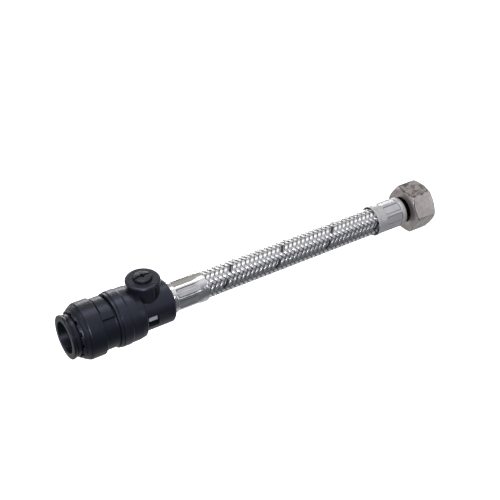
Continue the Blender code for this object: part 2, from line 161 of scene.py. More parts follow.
def rounded(points, seg=4, closed=True):
    """(x, r, fillet radius) corners as a list of (x, r), each fillet an arc of seg steps."""
    out = []
    n = len(points)
    for i, p in enumerate(points):
        x, r = p[0], p[1]
        f = p[2] if len(p) > 2 else 0.0
        if f <= 0 or (not closed and i in (0, n - 1)):
            out.append((x, r))
            continue
        c = np.array([x, r], float)
        a = np.array(points[i - 1][:2], float) - c
        b = np.array(points[(i + 1) % n][:2], float) - c
        la, lb = np.linalg.norm(a), np.linalg.norm(b)
        if la < 1e-6 or lb < 1e-6:
            out += [(x, r)] * (seg + 1)
            continue
        ua, ub = a / la, b / lb
        ang = math.acos(max(-1.0, min(1.0, float(ua @ ub))))
        if ang > 3.10 or ang < 0.02:
            out += [(x, r)] * (seg + 1)
            continue
        t = min(f / math.tan(ang / 2), 0.48 * la, 0.48 * lb)
        f2 = t * math.tan(ang / 2)
        mid = (ua + ub) / np.linalg.norm(ua + ub)
        centre = c + mid * f2 / math.sin(ang / 2)
        s, e = c + ua * t - centre, c + ub * t - centre
        a0 = math.atan2(s[1], s[0])
        d = (math.atan2(e[1], e[0]) - a0 + math.pi) % (2 * math.pi) - math.pi
        for k in range(seg + 1):
            g = a0 + d * k / seg
            out.append((centre[0] + f2 * math.cos(g), centre[1] + f2 * math.sin(g)))
    return out


def hose_points(x, r, phi):
    """Points on the hose axis frame from x, radius and angle in degrees."""
    a = np.radians(phi)
    return np.stack([x, -r * np.cos(a), r * np.sin(a)], -1)


def sweep(name, profile, phis, closed=True, upright=None):
    """A solid swept round the hose axis, or round the upright axis at x = upright, from profile(angle)."""
    phis = np.asarray(phis, float)
    rows = []
    for p in phis:
        pr = np.array(profile(p) if callable(profile) else profile, float)
        if upright is None:
            rows.append(hose_points(pr[:, 0], pr[:, 1], np.full(len(pr), p)))
        else:
            a = math.radians(p)
            rows.append(np.stack([upright + pr[:, 1] * math.cos(a), pr[:, 1] * math.sin(a), pr[:, 0]], -1))
    rows = np.array(rows)
    nt, npf = rows.shape[:2]
    mesh = new_mesh(name, world(rows.reshape(-1, 3)), ring_grid(nt, npf, closed=closed))
    return tidy(mesh)


def turns(n, extra=()):
    """n even angles with more packed round each extra angle."""
    a = list(np.arange(n) * 360.0 / n)
    for e in extra:
        a = [v for v in a if abs((v - e + 180) % 360 - 180) > 0.45 * 360 / n]
        a += [(e + d) % 360 for d in (-0.9, -0.45, -0.15, 0.15, 0.45, 0.9)]
    return sorted(set(round(v % 360, 4) for v in a))


def smooth(lo, hi, v):
    t = min(1.0, max(0.0, (v - lo) / (hi - lo)))
    return t * t * (3 - 2 * t)


def put(name, mesh, mats=()):
    for m in mats:
        mesh.materials.append(m)
    ob = bpy.data.objects.new(name, mesh)
    scene.collection.objects.link(ob)
    return ob


def temp(name, mesh):
    ob = bpy.data.objects.new(name, mesh)
    scene.collection.objects.link(ob)
    return ob


def boolean(ob, other, operation):
    m = ob.modifiers.new("b", "BOOLEAN")
    m.operation = operation
    m.object = other
    m.solver = "EXACT"
    bpy.context.view_layer.update()
    dg = bpy.context.evaluated_depsgraph_get()
    mesh = bpy.data.meshes.new_from_object(ob.evaluated_get(dg), depsgraph=dg)
    ob.modifiers.clear()
    ob.data = mesh
    bpy.data.objects.remove(other)
    return ob


def block(x, y, z, bevel=0.0, turn=0.0, centre=None):
    """A box from its x, y and z ranges, with rounded edges, turned about the hose axis by turn degrees."""
    bm = bmesh.new()
    bmesh.ops.create_cube(bm, size=1.0)
    for v in bm.verts:
        v.co = Vector(
            (
                x[0] + (v.co.x + 0.5) * (x[1] - x[0]),
                y[0] + (v.co.y + 0.5) * (y[1] - y[0]),
                z[0] + (v.co.z + 0.5) * (z[1] - z[0]),
            )
        )
    if bevel:
        bmesh.ops.bevel(bm, geom=list(bm.edges), offset=bevel, segments=3, affect="EDGES", profile=0.5)
    c, s = math.cos(math.radians(turn)), math.sin(math.radians(turn))
    for v in bm.verts:
        y0, z0 = v.co.y, v.co.z
        v.co = Vector((v.co.x * MM + FACE_X, (y0 * c - z0 * s) * MM, (y0 * s + z0 * c) * MM + AXIS_Z))
    mesh = bpy.data.meshes.new("block")
    bm.to_mesh(mesh)
    bm.free()
    return mesh


def finish_mesh(mesh, sharp=32.0, edge_gain=1.0):
    """Smooth shading with sharp creases, plus the attributes that materials read: rest place in mm and edge exposure."""
    mesh.shade_smooth()
    mesh.set_sharp_from_angle(angle=math.radians(sharp))
    n = len(mesh.vertices)
    co = np.empty(n * 3, np.float32)
    mesh.vertices.foreach_get("co", co)
    co = co.reshape(-1, 3).astype(float)
    rest = (co - np.array([FACE_X, 0, AXIS_Z])) / MM
    at = mesh.attributes.get("rest") or mesh.attributes.new("rest", "FLOAT_VECTOR", "POINT")
    at.data.foreach_set("vector", rest.astype(np.float32).ravel())
    no = np.empty(n * 3, np.float32)
    mesh.vertices.foreach_get("normal", no)
    no = no.reshape(-1, 3).astype(float)
    e = np.empty(len(mesh.edges) * 2, np.int32)
    mesh.edges.foreach_get("vertices", e)
    e = e.reshape(-1, 2)
    d = co[e[:, 1]] - co[e[:, 0]]
    length = np.maximum(np.linalg.norm(d, axis=1), 1e-9)
    u = d / length[:, None]
    acc, cnt = np.zeros(n), np.zeros(n)
    np.add.at(acc, e[:, 0], -(no[e[:, 0]] * u).sum(1))
    np.add.at(acc, e[:, 1], (no[e[:, 1]] * u).sum(1))
    np.add.at(cnt, e[:, 0], 1)
    np.add.at(cnt, e[:, 1], 1)
    edge = np.clip(acc / np.maximum(cnt, 1) * 6.0 * edge_gain - 0.15, 0, 1)
    at = mesh.attributes.get("edge") or mesh.attributes.new("edge", "FLOAT", "POINT")
    at.data.foreach_set("value", edge.astype(np.float32))
    return mesh


def piece(name, mesh, body, nodes, material, sharp=32.0, weighted=True, edge_gain=1.0):
    if material is not None:
        mesh.materials.clear()
        mesh.materials.append(material)
    finish_mesh(mesh, sharp, edge_gain)
    ob = put(name, mesh)
    if weighted:
        w = ob.modifiers.new("weighted", "WEIGHTED_NORMAL")
        w.keep_sharp = True
        w.weight = 60
    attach(ob, body)
    if nodes:
        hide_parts(*nodes)
    return ob


# ------------------------------------------------------------------ materials


class Nodes:
    """Short calls for building a node tree."""

    def __init__(self, name):
        self.mat = bpy.data.materials.new(name)
        self.mat.use_nodes = True
        self.t = self.mat.node_tree
        self.b = self.t.nodes["Principled BSDF"]

    def put(self, kind, **props):
        n = self.t.nodes.new(kind)
        for k, v in props.items():
            setattr(n, k, v)
        return n

    def link(self, a, b):
        self.t.links.new(a, b)
        return b

    def place(self, attribute="rest"):
        if attribute is None:  # a CAD node: object coordinates, in millimetres
            n = self.put("ShaderNodeTexCoord")
            return self.vec("MULTIPLY", n.outputs["Object"], (1000, 1000, 1000))
        return self.put("ShaderNodeAttribute", attribute_name=attribute).outputs["Vector"]

    def value(self, attribute):
        return self.put("ShaderNodeAttribute", attribute_name=attribute).outputs["Fac"]

    def vec(self, op, a, b=None):
        n = self.put("ShaderNodeVectorMath", operation=op)
        self.set(n.inputs[0], a)
        if b is not None:
            self.set(n.inputs[1], b)
        return n.outputs[0]

    def set(self, socket, v):
        if isinstance(v, bpy.types.NodeSocket):
            self.t.links.new(v, socket)
        else:
            socket.default_value = v

    def math(self, op, a, b=0.0, clamp=False):
        n = self.put("ShaderNodeMath", operation=op, use_clamp=clamp)
        self.set(n.inputs[0], a)
        self.set(n.inputs[1], b)
        return n.outputs[0]

    def noise(self, where, scale, detail=3.0, rough=0.55, distort=0.0):
        n = self.put("ShaderNodeTexNoise")
        self.set(n.inputs["Vector"], where)
        n.inputs["Scale"].default_value = scale
        n.inputs["Detail"].default_value = detail
        n.inputs["Roughness"].default_value = rough
        n.inputs["Distortion"].default_value = distort
        return n.outputs["Fac"]

    def span(self, v, a, b, lo, hi, smooth_step=False):
        n = self.put("ShaderNodeMapRange")
        if smooth_step:
            n.interpolation_type = "SMOOTHSTEP"
        self.set(n.inputs["Value"], v)
        n.inputs["From Min"].default_value = a
        n.inputs["From Max"].default_value = b
        n.inputs["To Min"].default_value = lo
        n.inputs["To Max"].default_value = hi
        return n.outputs["Result"]

    def mix(self, fac, a, b, kind="MIX"):
        n = self.put("ShaderNodeMix", data_type="RGBA", blend_type=kind)
        self.set(n.inputs[0], fac)
        for s, v in ((n.inputs[6], a), (n.inputs[7], b)):
            if isinstance(v, bpy.types.NodeSocket):
                self.t.links.new(v, s)
            else:
                s.default_value = (*v, 1.0)
        return n.outputs[2]

    def stretch(self, where, scale):
        return self.vec("MULTIPLY", where, scale)

    def bump(self, height, strength, distance, normal=None):
        n = self.put("ShaderNodeBump")
        n.inputs["Strength"].default_value = strength
        n.inputs["Distance"].default_value = distance
        self.set(n.inputs["Height"], height)
        if normal is not None:
            self.set(n.inputs["Normal"], normal)
        return n.outputs["Normal"]

    def angle(self, where):
        """Angle round the hose axis, as 0 to 1, from a place in mm."""
        s = self.put("ShaderNodeSeparateXYZ")
        self.set(s.inputs[0], where)
        a = self.math("ARCTAN2", s.outputs[2], s.outputs[1])
        return self.math("DIVIDE", a, 2 * math.pi), s.outputs[0]

    def done(self, colour, rough, metal=0.0, normal=None, **more):
        self.set(self.b.inputs["Base Color"], colour if isinstance(colour, bpy.types.NodeSocket) else (*colour, 1.0))
        self.set(self.b.inputs["Roughness"], rough)
        self.set(self.b.inputs["Metallic"], metal)
        if normal is not None:
            self.set(self.b.inputs["Normal"], normal)
        for k, v in more.items():
            self.set(self.b.inputs[k.replace("_", " ")], v)
        return self.mat


def plastic(name, base, light, rough, coords="rest", grain=1.0, edge=True, specular=0.5):
    """Moulded plastic: satin skin, faint flow marks, scuffs, and a paler polished line on worn edges."""
    n = Nodes(name)
    p = n.place(coords)
    flow = n.noise(n.stretch(p, (0.05, 0.16, 0.16)), 1.0, 4.0, 0.6, 0.6)
    fine = n.noise(p, 9.0, 2.0, 0.5)
    speck = n.noise(p, 2.3, 5.0, 0.62)
    scuff = n.noise(n.stretch(p, (0.35, 2.6, 0.9)), 1.3, 6.0, 0.72, 1.2)
    scuff = n.span(scuff, 0.60, 0.74, 0.0, 1.0, True)
    col = n.mix(n.span(flow, 0.3, 0.7, 0.0, 1.0), base, light)
    col = n.mix(n.math("MULTIPLY", scuff, 0.22), col, tuple(min(1.0, c * 2.6 + 0.02) for c in light))
    r = n.span(speck, 0.3, 0.7, rough - 0.05, rough + 0.07)
    r = n.math("ADD", r, n.math("MULTIPLY", scuff, 0.10))
    if edge:
        e = n.math("MULTIPLY", n.value("edge"), n.span(speck, 0.35, 0.65, 0.45, 1.0))
        col = n.mix(n.math("MULTIPLY", e, 0.55), col, tuple(min(1.0, c * 2.2 + 0.015) for c in light))
        r = n.math("SUBTRACT", r, n.math("MULTIPLY", e, 0.14))
    nrm = n.bump(fine, 0.10 * grain, 0.00012)
    nrm = n.bump(speck, 0.06 * grain, 0.0004, nrm)
    return n.done(col, r, 0.0, nrm, **{"Specular_IOR_Level": specular, "Specular_Tint": (0.84, 0.91, 1.20, 1.0)})


def metal(name, base, dark, rough, coords="rest", lines="turned", cloud=0.5, edge=0.5, line_bump=0.25, spots=0.0, spot_colour=(0.12, 0.11, 0.10), outline=0.0, stain=0.0, metallic=1.0):
    """Bare or plated metal: tool or polish lines, cloudy tarnish, and brighter edges that are partly rubbed wear and
    partly a painted highlight.
    """
    n = Nodes(name)
    p = n.place(coords)
    turn, x = n.angle(p)
    if lines == "turned":  # fine rings round the axis
        c = n.put("ShaderNodeCombineXYZ")
        n.set(c.inputs[0], n.math("MULTIPLY", x, 9.0))
        n.set(c.inputs[1], n.math("MULTIPLY", turn, 2.2))
        streak = n.noise(c.outputs[0], 1.0, 4.0, 0.65)
    elif lines == "drawn":  # lines along the hose
        c = n.put("ShaderNodeCombineXYZ")
        n.set(c.inputs[0], n.math("MULTIPLY", x, 0.25))
        n.set(c.inputs[1], n.math("MULTIPLY", turn, 160.0))
        streak = n.noise(c.outputs[0], 1.0, 4.0, 0.65)
    else:
        streak = n.noise(p, 6.0, 5.0, 0.7)
    clouds = n.noise(p, 0.22, 5.0, 0.6, 0.4)
    grit = n.noise(p, 3.1, 5.0, 0.7)
    fac = n.span(clouds, 0.38, 0.66, 0.0, cloud, True)
    col = n.mix(fac, base, dark)
    col = n.mix(n.span(streak, 0.3, 0.7, 0.10, 0.0), col, dark)
    r = n.span(streak, 0.3, 0.7, rough - 0.05, rough + 0.06)
    r = n.math("ADD", r, n.math("MULTIPLY", fac, 0.10))
    if spots:
        s = n.span(grit, 0.62, 0.70, 0.0, spots, True)
        col = n.mix(s, col, spot_colour)
        r = n.math("ADD", r, n.math("MULTIPLY", s, 0.2))
    # painted highlight mixed with rubbed wear: convex edges lighter and glossier
    if edge and coords:
        e = n.math("MULTIPLY", n.value("edge"), n.span(grit, 0.3, 0.6, 0.5, 1.0))
        col = n.mix(n.math("MULTIPLY", e, edge), col, tuple(min(1.0, c * 1.35) for c in base))
        r = n.math("SUBTRACT", r, n.math("MULTIPLY", e, 0.10 * edge))
    if outline:  # painted shade: a dark line along pressed panel outlines and the nut's edge creases
        g = n.math("MULTIPLY", n.value("outline"), outline, clamp=True)
        col = n.mix(g, col, (0.035, 0.034, 0.040))
    if stain:  # handling stains, strongest on the upper flat
        blot = n.span(n.noise(p, 0.26, 6.0, 0.68, 1.0), 0.44, 0.60, 0.0, 1.0, True)
        up = n.put("ShaderNodeSeparateXYZ")
        n.set(up.inputs[0], p)
        up = n.span(up.outputs[2], 11.2, 11.8, 0.22, 1.0)
        col = n.mix(n.math("MULTIPLY", n.math("MULTIPLY", blot, up), stain), col, (0.10, 0.098, 0.105))
    nrm = n.bump(streak, line_bump, 0.00003)
    nrm = n.bump(grit, 0.05, 0.0002, nrm)
    return n.done(col, n.math("MAXIMUM", r, 0.04), metallic, nrm)


def rubber(name, base, coords="rest"):
    n = Nodes(name)
    p = n.place(coords)
    a = n.noise(p, 1.1, 5.0, 0.6)
    b = n.noise(p, 7.0, 3.0, 0.6)
    bloom = n.span(a, 0.42, 0.68, 0.0, 0.35, True)
    col = n.mix(bloom, base, tuple(min(1.0, c * 2.4 + 0.012) for c in base))
    nrm = n.bump(b, 0.25, 0.00008)
    return n.done(col, n.span(a, 0.3, 0.7, 0.66, 0.86), 0.0, nrm, **{"Specular_IOR_Level": 0.35})


def pale(name, base, shade, rough, coords="rest"):
    n = Nodes(name)
    p = n.place(coords)
    a = n.noise(p, 0.5, 4.0, 0.6, 0.5)
    b = n.noise(p, 5.0, 4.0, 0.6)
    col = n.mix(n.span(a, 0.3, 0.7, 0.0, 1.0), base, shade)
    nrm = n.bump(b, 0.12, 0.0001)
    return n.done(col, n.span(b, 0.3, 0.7, rough - 0.06, rough + 0.08), 0.0, nrm)


BLACK, BLACK_LIGHT = (0.0034, 0.0038, 0.0064), (0.0060, 0.0066, 0.0100)
M = {
    "body": plastic("moulded_black_body", BLACK, BLACK_LIGHT, 0.35, grain=0.5),
    "cap": plastic("moulded_black_cap", (0.0032, 0.0036, 0.0060), (0.0056, 0.0062, 0.0094), 0.34, grain=0.5, specular=0.40),
    "collet": plastic("moulded_black_collet", (0.0032, 0.0034, 0.0052), (0.0056, 0.0060, 0.0084), 0.32, grain=0.6, specular=0.36),
    "stem": plastic("moulded_black_stem", (0.0050, 0.0050, 0.0062), (0.0090, 0.0090, 0.0108), 0.42, grain=0.6),
    "ferrule_in": metal("polished_steel", (0.80, 0.79, 0.80), (0.50, 0.49, 0.49), 0.09, lines="drawn", cloud=0.35, edge=0.5, line_bump=0.12, spots=0.25, outline=0.95),
    "ferrule_out": metal("satin_steel", (0.49, 0.483, 0.505), (0.37, 0.365, 0.38), 0.38, lines="drawn", cloud=0.45, edge=0.45, line_bump=0.22, spots=0.15, outline=0.85, metallic=0.45),
    "nickel": metal("satin_nickel", (0.50, 0.455, 0.445), (0.36, 0.33, 0.32), 0.32, lines="mottled", cloud=0.6, edge=1.0, line_bump=0.08, spots=0.15, spot_colour=(0.20, 0.17, 0.14), stain=1.0, outline=1.0, metallic=0.85),
    "brass": metal("turned_brass", (0.72, 0.55, 0.30), (0.42, 0.29, 0.13), 0.26, cloud=0.6),
    "spring": metal("spring_steel_strip", (0.74, 0.73, 0.70), (0.50, 0.49, 0.46), 0.22, cloud=0.3),
    "rubber": rubber("epdm_rubber", (0.012, 0.012, 0.013)),
    "liner": rubber("hose_rubber", (0.008, 0.008, 0.009)),
    "nylon": pale("natural_nylon", (0.62, 0.58, 0.48), (0.50, 0.46, 0.36), 0.48),
    "cad_rubber": rubber("epdm_rubber_small", (0.012, 0.012, 0.013), None),
    "cad_ptfe": pale("ptfe_seat", (0.82, 0.82, 0.80), (0.72, 0.72, 0.69), 0.45, None),
    "cad_ball": metal("chromed_ball_plate", (0.80, 0.80, 0.82), (0.62, 0.62, 0.64), 0.10, coords=None, cloud=0.2, edge=0.0),
    "cad_brass": metal("turned_brass_tail", (0.72, 0.55, 0.30), (0.42, 0.29, 0.13), 0.26, coords=None, cloud=0.6, edge=0.0),
    "acetal": pale("pale_acetal_clip", (0.40, 0.40, 0.46), (0.32, 0.32, 0.37), 0.42),
}


def wire_material():
    """Stainless braid wire: each strand a little different, drawn lines along it, and painted shade in the hollows and
    where a strand dives under.
    """
    n = Nodes("braid_wire")
    p = n.place()
    strand = n.value("strand")
    under_shade = n.value("under_shade")
    grit = n.noise(p, 2.4, 4.0, 0.65)
    cloud = n.noise(p, 0.30, 3.0, 0.6)
    col = n.mix(n.span(strand, 0.0, 1.0, 0.0, 0.45), (0.82, 0.82, 0.84), (0.66, 0.655, 0.68))
    col = n.mix(n.span(cloud, 0.4, 0.7, 0.0, 0.3, True), col, (0.52, 0.515, 0.53))
    # painted shade: near black in the grooves and where the strand dives under its neighbour
    painted_shade = n.math("MULTIPLY", under_shade, n.span(grit, 0.3, 0.7, 0.75, 1.0), clamp=True)
    col = n.mix(painted_shade, col, (0.10, 0.098, 0.106))
    r = n.span(grit, 0.3, 0.7, 0.16, 0.25)
    r = n.math("ADD", r, n.math("MULTIPLY", painted_shade, 0.2))
    r = n.math("ADD", r, n.math("MULTIPLY", strand, 0.06))
    nrm = n.bump(grit, 0.06, 0.0001)
    return n.done(col, r, 1.0, nrm)


def tracer_material():
    n = Nodes("tracer_strand")
    p = n.place()
    grit = n.noise(p, 3.0, 4.0, 0.65)
    col = n.mix(n.span(grit, 0.3, 0.7, 0.0, 1.0), (0.004, 0.004, 0.006), (0.014, 0.014, 0.018))
    return n.done(col, n.span(grit, 0.3, 0.7, 0.32, 0.5), 0.0, n.bump(grit, 0.1, 0.0001))


def tail_material():
    """Turned brass, painted near black as painted shade where the neck stands open between the sleeve and the nut."""
    mat = metal("brass_with_painted_shade", (0.72, 0.55, 0.30), (0.42, 0.29, 0.13), 0.26, cloud=0.6)
    t, b = mat.node_tree, mat.node_tree.nodes["Principled BSDF"]
    at = t.nodes.new("ShaderNodeAttribute")
    at.attribute_name = "rest"
    sep = t.nodes.new("ShaderNodeSeparateXYZ")
    t.links.new(at.outputs["Vector"], sep.inputs[0])
    # painted shade: near black below x = 213.6, the neck lying in the gap between sleeve and nut
    ramp = t.nodes.new("ShaderNodeMapRange")
    ramp.interpolation_type = "SMOOTHSTEP"
    t.links.new(sep.outputs[0], ramp.inputs["Value"])
    ramp.inputs["From Min"].default_value, ramp.inputs["From Max"].default_value = 213.6, 214.2
    ramp.inputs["To Min"].default_value, ramp.inputs["To Max"].default_value = 0.95, 0.0
    mix = t.nodes.new("ShaderNodeMix")
    mix.data_type = "RGBA"
    old = b.inputs["Base Color"].links[0].from_socket
    t.links.new(ramp.outputs["Result"], mix.inputs[0])
    t.links.new(old, mix.inputs[6])
    mix.inputs[7].default_value = (0.018, 0.017, 0.017, 1)
    t.links.new(mix.outputs[2], b.inputs["Base Color"])
    return mat


M["tail"] = tail_material()
M["wire"] = wire_material()
M["tracer"] = tracer_material()

# ------------------------------------------------------------------ release collet


def collet_mesh():
    prof = rounded(
        [
            (14.0, 8.5, 0.15), (13.4, 9.0, 0.2), (11.2, 9.0, 0.05), (11.2, 10.0, 0.12), (10.7, 10.3, 0.12), (9.7, 10.3, 0.15), (9.7, 9.2, 0.05),
            (4.4, 9.2, 0.2), (4.4, 11.15, 0.3), (2.45, 11.15, 0.1), (2.35, 10.8, 0.05), (2.05, 10.8, 0.05), (1.95, 11.3, 0.12), (1.0, 11.66, 0.3),
            (0.3, 11.66, 0.25), (0.02, 11.3, 0.15), (0.0, 8.75, 0.1), (0.2, 8.45, 0.12), (5.5, 7.7, 0.5), (14.0, 7.65, 0.2),
        ],
        4,
    )
    ob = temp("collet_work", sweep("collet", prof, turns(144)))
    for i in range(6):
        a = 30 + 60 * i
        boolean(ob, temp("slit", block((6.4, 14.6), (6.8, 11.6), (-0.55, 0.55), 0.12, turn=a)), "DIFFERENCE")
    mesh = ob.data
    bpy.data.objects.remove(ob)
    return tidy(mesh)


piece("collet_ring", collet_mesh(), "collet", ["release_collet"], M["collet"])

# ------------------------------------------------------------------ end cap with the snap latch


CAP_NOTCHES = [(30 * i - 1000 + 15) % 360 for i in range(12)]


def cap_profile(phi):
    p = phi if phi <= 180 else phi - 360
    flush = smooth(46.75, 47.25, p) * (1 - smooth(62.3, 62.9, p))
    strap = smooth(62.3, 62.9, p) * (1 - smooth(125.6, 126.4, p))
    front = smooth(62.7, 63.3, p) * (1 - smooth(116.6, 117.4, p))
    rear = smooth(61.6, 62.4, p) * (1 - smooth(117.6, 118.4, p))
    waist = 13.5
    land = waist + (14.85 - waist) * flush + (14.1 - waist) * strap
    # the moulded recess below the latch, a shallow pocket with soft ends
    pocket = smooth(4.0, 7.0, p) * (1 - smooth(43.0, 46.0, p))
    land -= 0.18 * pocket
    # a shut line under the lower edge of the latch land
    land -= 0.85 * smooth(45.1, 45.7, p) * (1 - smooth(46.6, 46.8, p))
    f_floor = land + (12.9 - land) * front
    r_floor = land + (12.75 - land) * rear
    tail = waist + (14.2 - waist) * flush * 0.9
    tail = tail + (12.75 - tail) * rear
    back = 24.60 - 0.30 * rear
    notch = abs((p + 1000.0) % 30.0 - 15.0)
    nose = 4.5 + 0.75 * (1 - smooth(5.2, 5.8, notch))
    return rounded(
        [
            (nose, 11.7, 0.12), (nose, 12.25, 0.15), (5.45, 12.7, 0.1), (5.5, 12.4, 0.05), (6.15, 12.6, 0.05), (6.2, 13.35, 0.12), (7.85, 14.42, 0.22), (8.0, 14.2, 0.08), (8.4, 14.2, 0.08), (8.5, 14.72, 0.14),
            (9.15, 15.0, 0.5), (16.45, 15.0, 0.3), (16.8, 14.62, 0.12), (16.85, f_floor, 0.12), (17.45, f_floor, 0.08), (17.5, land, 0.12),
            (20.2, land, 0.0), (23.15 - 0.35 * rear, land, 0.15), (23.25 - 0.35 * rear, r_floor, 0.1), (back - 0.2, tail, 0.1), (back, tail - 0.12, 0.08), (back, 12.3, 0.1), (16.2, 12.3, 0.1), (16.2, 10.7, 0.1),
            (9.2, 10.7, 0.1), (9.2, 9.6, 0.12), (7.0, 9.6, 0.12), (7.0, 11.7, 0.2),
        ],
        4,
    )


piece(
    "end_cap_shell",
    sweep("cap", cap_profile, turns(180, [45.1, 45.4, 45.7, 46.2, 46.6, 46.8, 47.25, 62.3, 62.9, 117, 118, 126] + [v + d for v in CAP_NOTCHES for d in (-5.5, 5.5)])),
    "valve", ["end_cap"], M["cap"], sharp=38,
)

# ------------------------------------------------------------------ grip ring, spacer and seals in the socket


def slotted_ring():
    ob = temp(
        "grab_work",
        sweep("grab", rounded([(16.9, 12.0, 0.1), (16.5, 12.0, 0.1), (16.5, 9.0, 0.1), (18.3, 7.74, 0.05), (18.55, 8.0, 0.05), (16.9, 9.25, 0.1)], 3), turns(144)),
    )
    for i in range(12):
        boolean(ob, temp("slit", block((15.5, 19.5), (7.0, 10.4), (-0.5, 0.5), 0.1, turn=15 + 30 * i)), "DIFFERENCE")
    mesh = ob.data
    bpy.data.objects.remove(ob)
    return tidy(mesh)


piece("grip_ring", slotted_ring(), "valve", ["grab_ring"], M["spring"])
piece(
    "spacer",
    sweep(
        "spacer",
        rounded([(20.9, 10.3, 0.15), (18.0, 10.3, 0.1), (18.0, 12.0, 0.15), (17.2, 12.0, 0.15), (17.2, 9.6, 0.2), (19.4, 7.9, 0.2), (20.9, 7.9, 0.2)], 4),
        turns(144),
    ),
    "valve", ["spacer_ring"], M["nylon"],
)


def ring_profile(x, big_r, small_r, n=24):
    return [(x + small_r * math.cos(2 * math.pi * i / n), big_r + small_r * math.sin(2 * math.pi * i / n)) for i in range(n)]


piece("socket_o_ring", sweep("o", ring_profile(22.6, 8.97, 1.24), turns(144)), "valve", ["pipe_seal_o_ring"], M["rubber"])

# ------------------------------------------------------------------ valve body

BODY_OUTER = [
    (18.3, 12.0, 0.2), (24.65, 12.0, 0.05), (24.65, 14.3, 0.12), (24.75, 14.5, 0.1), (25.8, 14.58, 0.2), (25.9, 14.2, 0.05), (26.35, 14.2, 0.05),
    (26.45, 14.85, 0.3), (30.8, 14.85, 0.35), (31.5, 14.55, 0.5), (36.15, 14.52, 0.06), (36.22, 14.32, 0.04), (36.42, 14.32, 0.04), (36.5, 14.46, 0.06),
    (39.35, 13.98, 0.4), (39.95, 13.5, 0.25), (40.1, 11.8, 0.2), (56.35, 11.8, 1.0), (57.2, 10.95, 0.5),
]


def outer_radius(x):
    xs = [p[0] for p in BODY_OUTER]
    rs = [p[1] for p in BODY_OUTER]
    return float(np.interp(x, xs, rs))


def boss_mesh():
    """The stem boss: its foot follows the round body with a small fillet."""
    rows = []
    for a in np.radians(turns(144)):
        c, s = math.cos(a), math.sin(a)

        def surface(rho):
            rb = outer_radius(VALVE_X + rho * c)
            y = rho * s
            return math.sqrt(max(rb * rb - y * y, 1.0))

        f = 0.45 * smooth(-3.4, -1.6, 8.6 * c)
        top = rounded(
            [(18.9, 0.0, 0.0), (18.9, 5.85, 0.0), (18.9, 8.05, 0.4), (18.6, 8.76, 0.2), (18.1, 9.05, 0.3), (17.25, 9.05, 0.3), (16.95, 8.2, 0.15), (16.6, 8.2, 0.0)], 4, closed=False
        )
        ring = [(z, r) for z, r in top]
        foot = []
        if f > 0.02:
            for k in range(6):
                h = f * (1 - k / 5.0)
                rho = 8.2 + f - math.sqrt(max(f * f - (f - h) ** 2, 0.0))
                foot.append((surface(rho) + h, rho))
        else:
            foot = [(surface(8.2) + 0.3 * (1 - k / 5.0), 8.2) for k in range(6)]
        last = foot[-1]
        foot.append((last[0] - 0.6, last[1]))
        foot.append((4.0, 7.6))
        foot.append((4.0, 0.0))
        ring += [(16.6 + (foot[0][0] - 16.6) * t, 8.2) for t in (0.33, 0.67)]
        pr = ring + foot
        rows.append([(VALVE_X + r * c, r * s, z) for z, r in pr])
    rows = np.array(rows)
    nt, npf = rows.shape[:2]
    return tidy(new_mesh("boss", world(rows.reshape(-1, 3)), ring_grid(nt, npf, closed=False)), 2e-6)


def body_mesh():
    solid = rounded(BODY_OUTER, 4, closed=False)
    ob = temp("body_work", sweep("body", [(18.3, 0.0)] + solid + [(57.2, 0.0)], turns(200), closed=False))
    boolean(ob, temp("boss", boss_mesh()), "UNION")
    bore = rounded(
        [
            (60.0, 0.0), (60.0, 9.4), (57.9, 9.4), (56.9, 8.6, 0.2), (36.6, 8.6, 0.15), (36.6, 5.6, 0.1), (31.5, 5.6, 0.15), (31.5, 7.8, 0.1), (24.2, 7.8, 0.1),
            (24.2, 10.6, 0.1), (16.0, 10.6), (16.0, 0.0),
        ],
        3, closed=False,
    )
    boolean(ob, temp("bore", sweep("bore", bore, np.array(turns(160)) + 0.7, closed=False)), "DIFFERENCE")
    well = rounded([(22.0, 0.0), (22.0, 6.2), (19.35, 5.3), (18.75, 4.95, 0.15), (8.75, 4.95, 0.1), (8.75, 5.75), (5.0, 5.75), (5.0, 0.0)], 3, closed=False)
    boolean(ob, temp("well", sweep("well", well, np.array(turns(120)) + 0.9, closed=False, upright=VALVE_X)), "DIFFERENCE")
    boolean(ob, temp("w1", block((40.85, 46.85), (-14, -7.3), (-3.6, 2.4), 0.25)), "DIFFERENCE")
    boolean(ob, temp("w2", block((40.85, 46.85), (7.3, 14), (-3.6, 2.4), 0.25)), "DIFFERENCE")
    boolean(ob, temp("w3", block((41.1, 43.3), (-7.9, 7.9), (-14, -7.05), 0.2)), "DIFFERENCE")
    for angle, depth, width, z in ((-65.0, 7.45, 1.15, (9.6, 18.45)), (-85.0, 7.9, 0.8, (10.4, 16.8))):
        flute = block((VALVE_X + depth, VALVE_X + 11), (-width / 2, width / 2), z, 0.15)
        pivot = Vector((FACE_X + VALVE_X * MM, 0, 0))
        flute.transform(Matrix.Translation(pivot) @ Matrix.Rotation(math.radians(angle), 4, "Z") @ Matrix.Translation(-pivot))
        boolean(ob, temp("flute", flute), "DIFFERENCE")
    for dx, dy in ((-1.25, 6.95), (2.6, -6.5)):
        dimple = rounded([(20.0, 0.0), (20.0, 0.75), (18.95, 0.62), (18.45, 0.35, 0.1), (18.4, 0.0)], 2, closed=False)
        m = sweep("dimple", dimple, turns(20), closed=False, upright=VALVE_X + dx)
        m.transform(Matrix.Translation((0, dy * MM, 0)))
        boolean(ob, temp("dimple", m), "DIFFERENCE")
    mesh = ob.data
    bpy.data.objects.remove(ob)
    return tidy(mesh, 1e-7)


piece("valve_housing", body_mesh(), "valve", ["valve_body"], M["body"], sharp=34)

# ------------------------------------------------------------------ stem


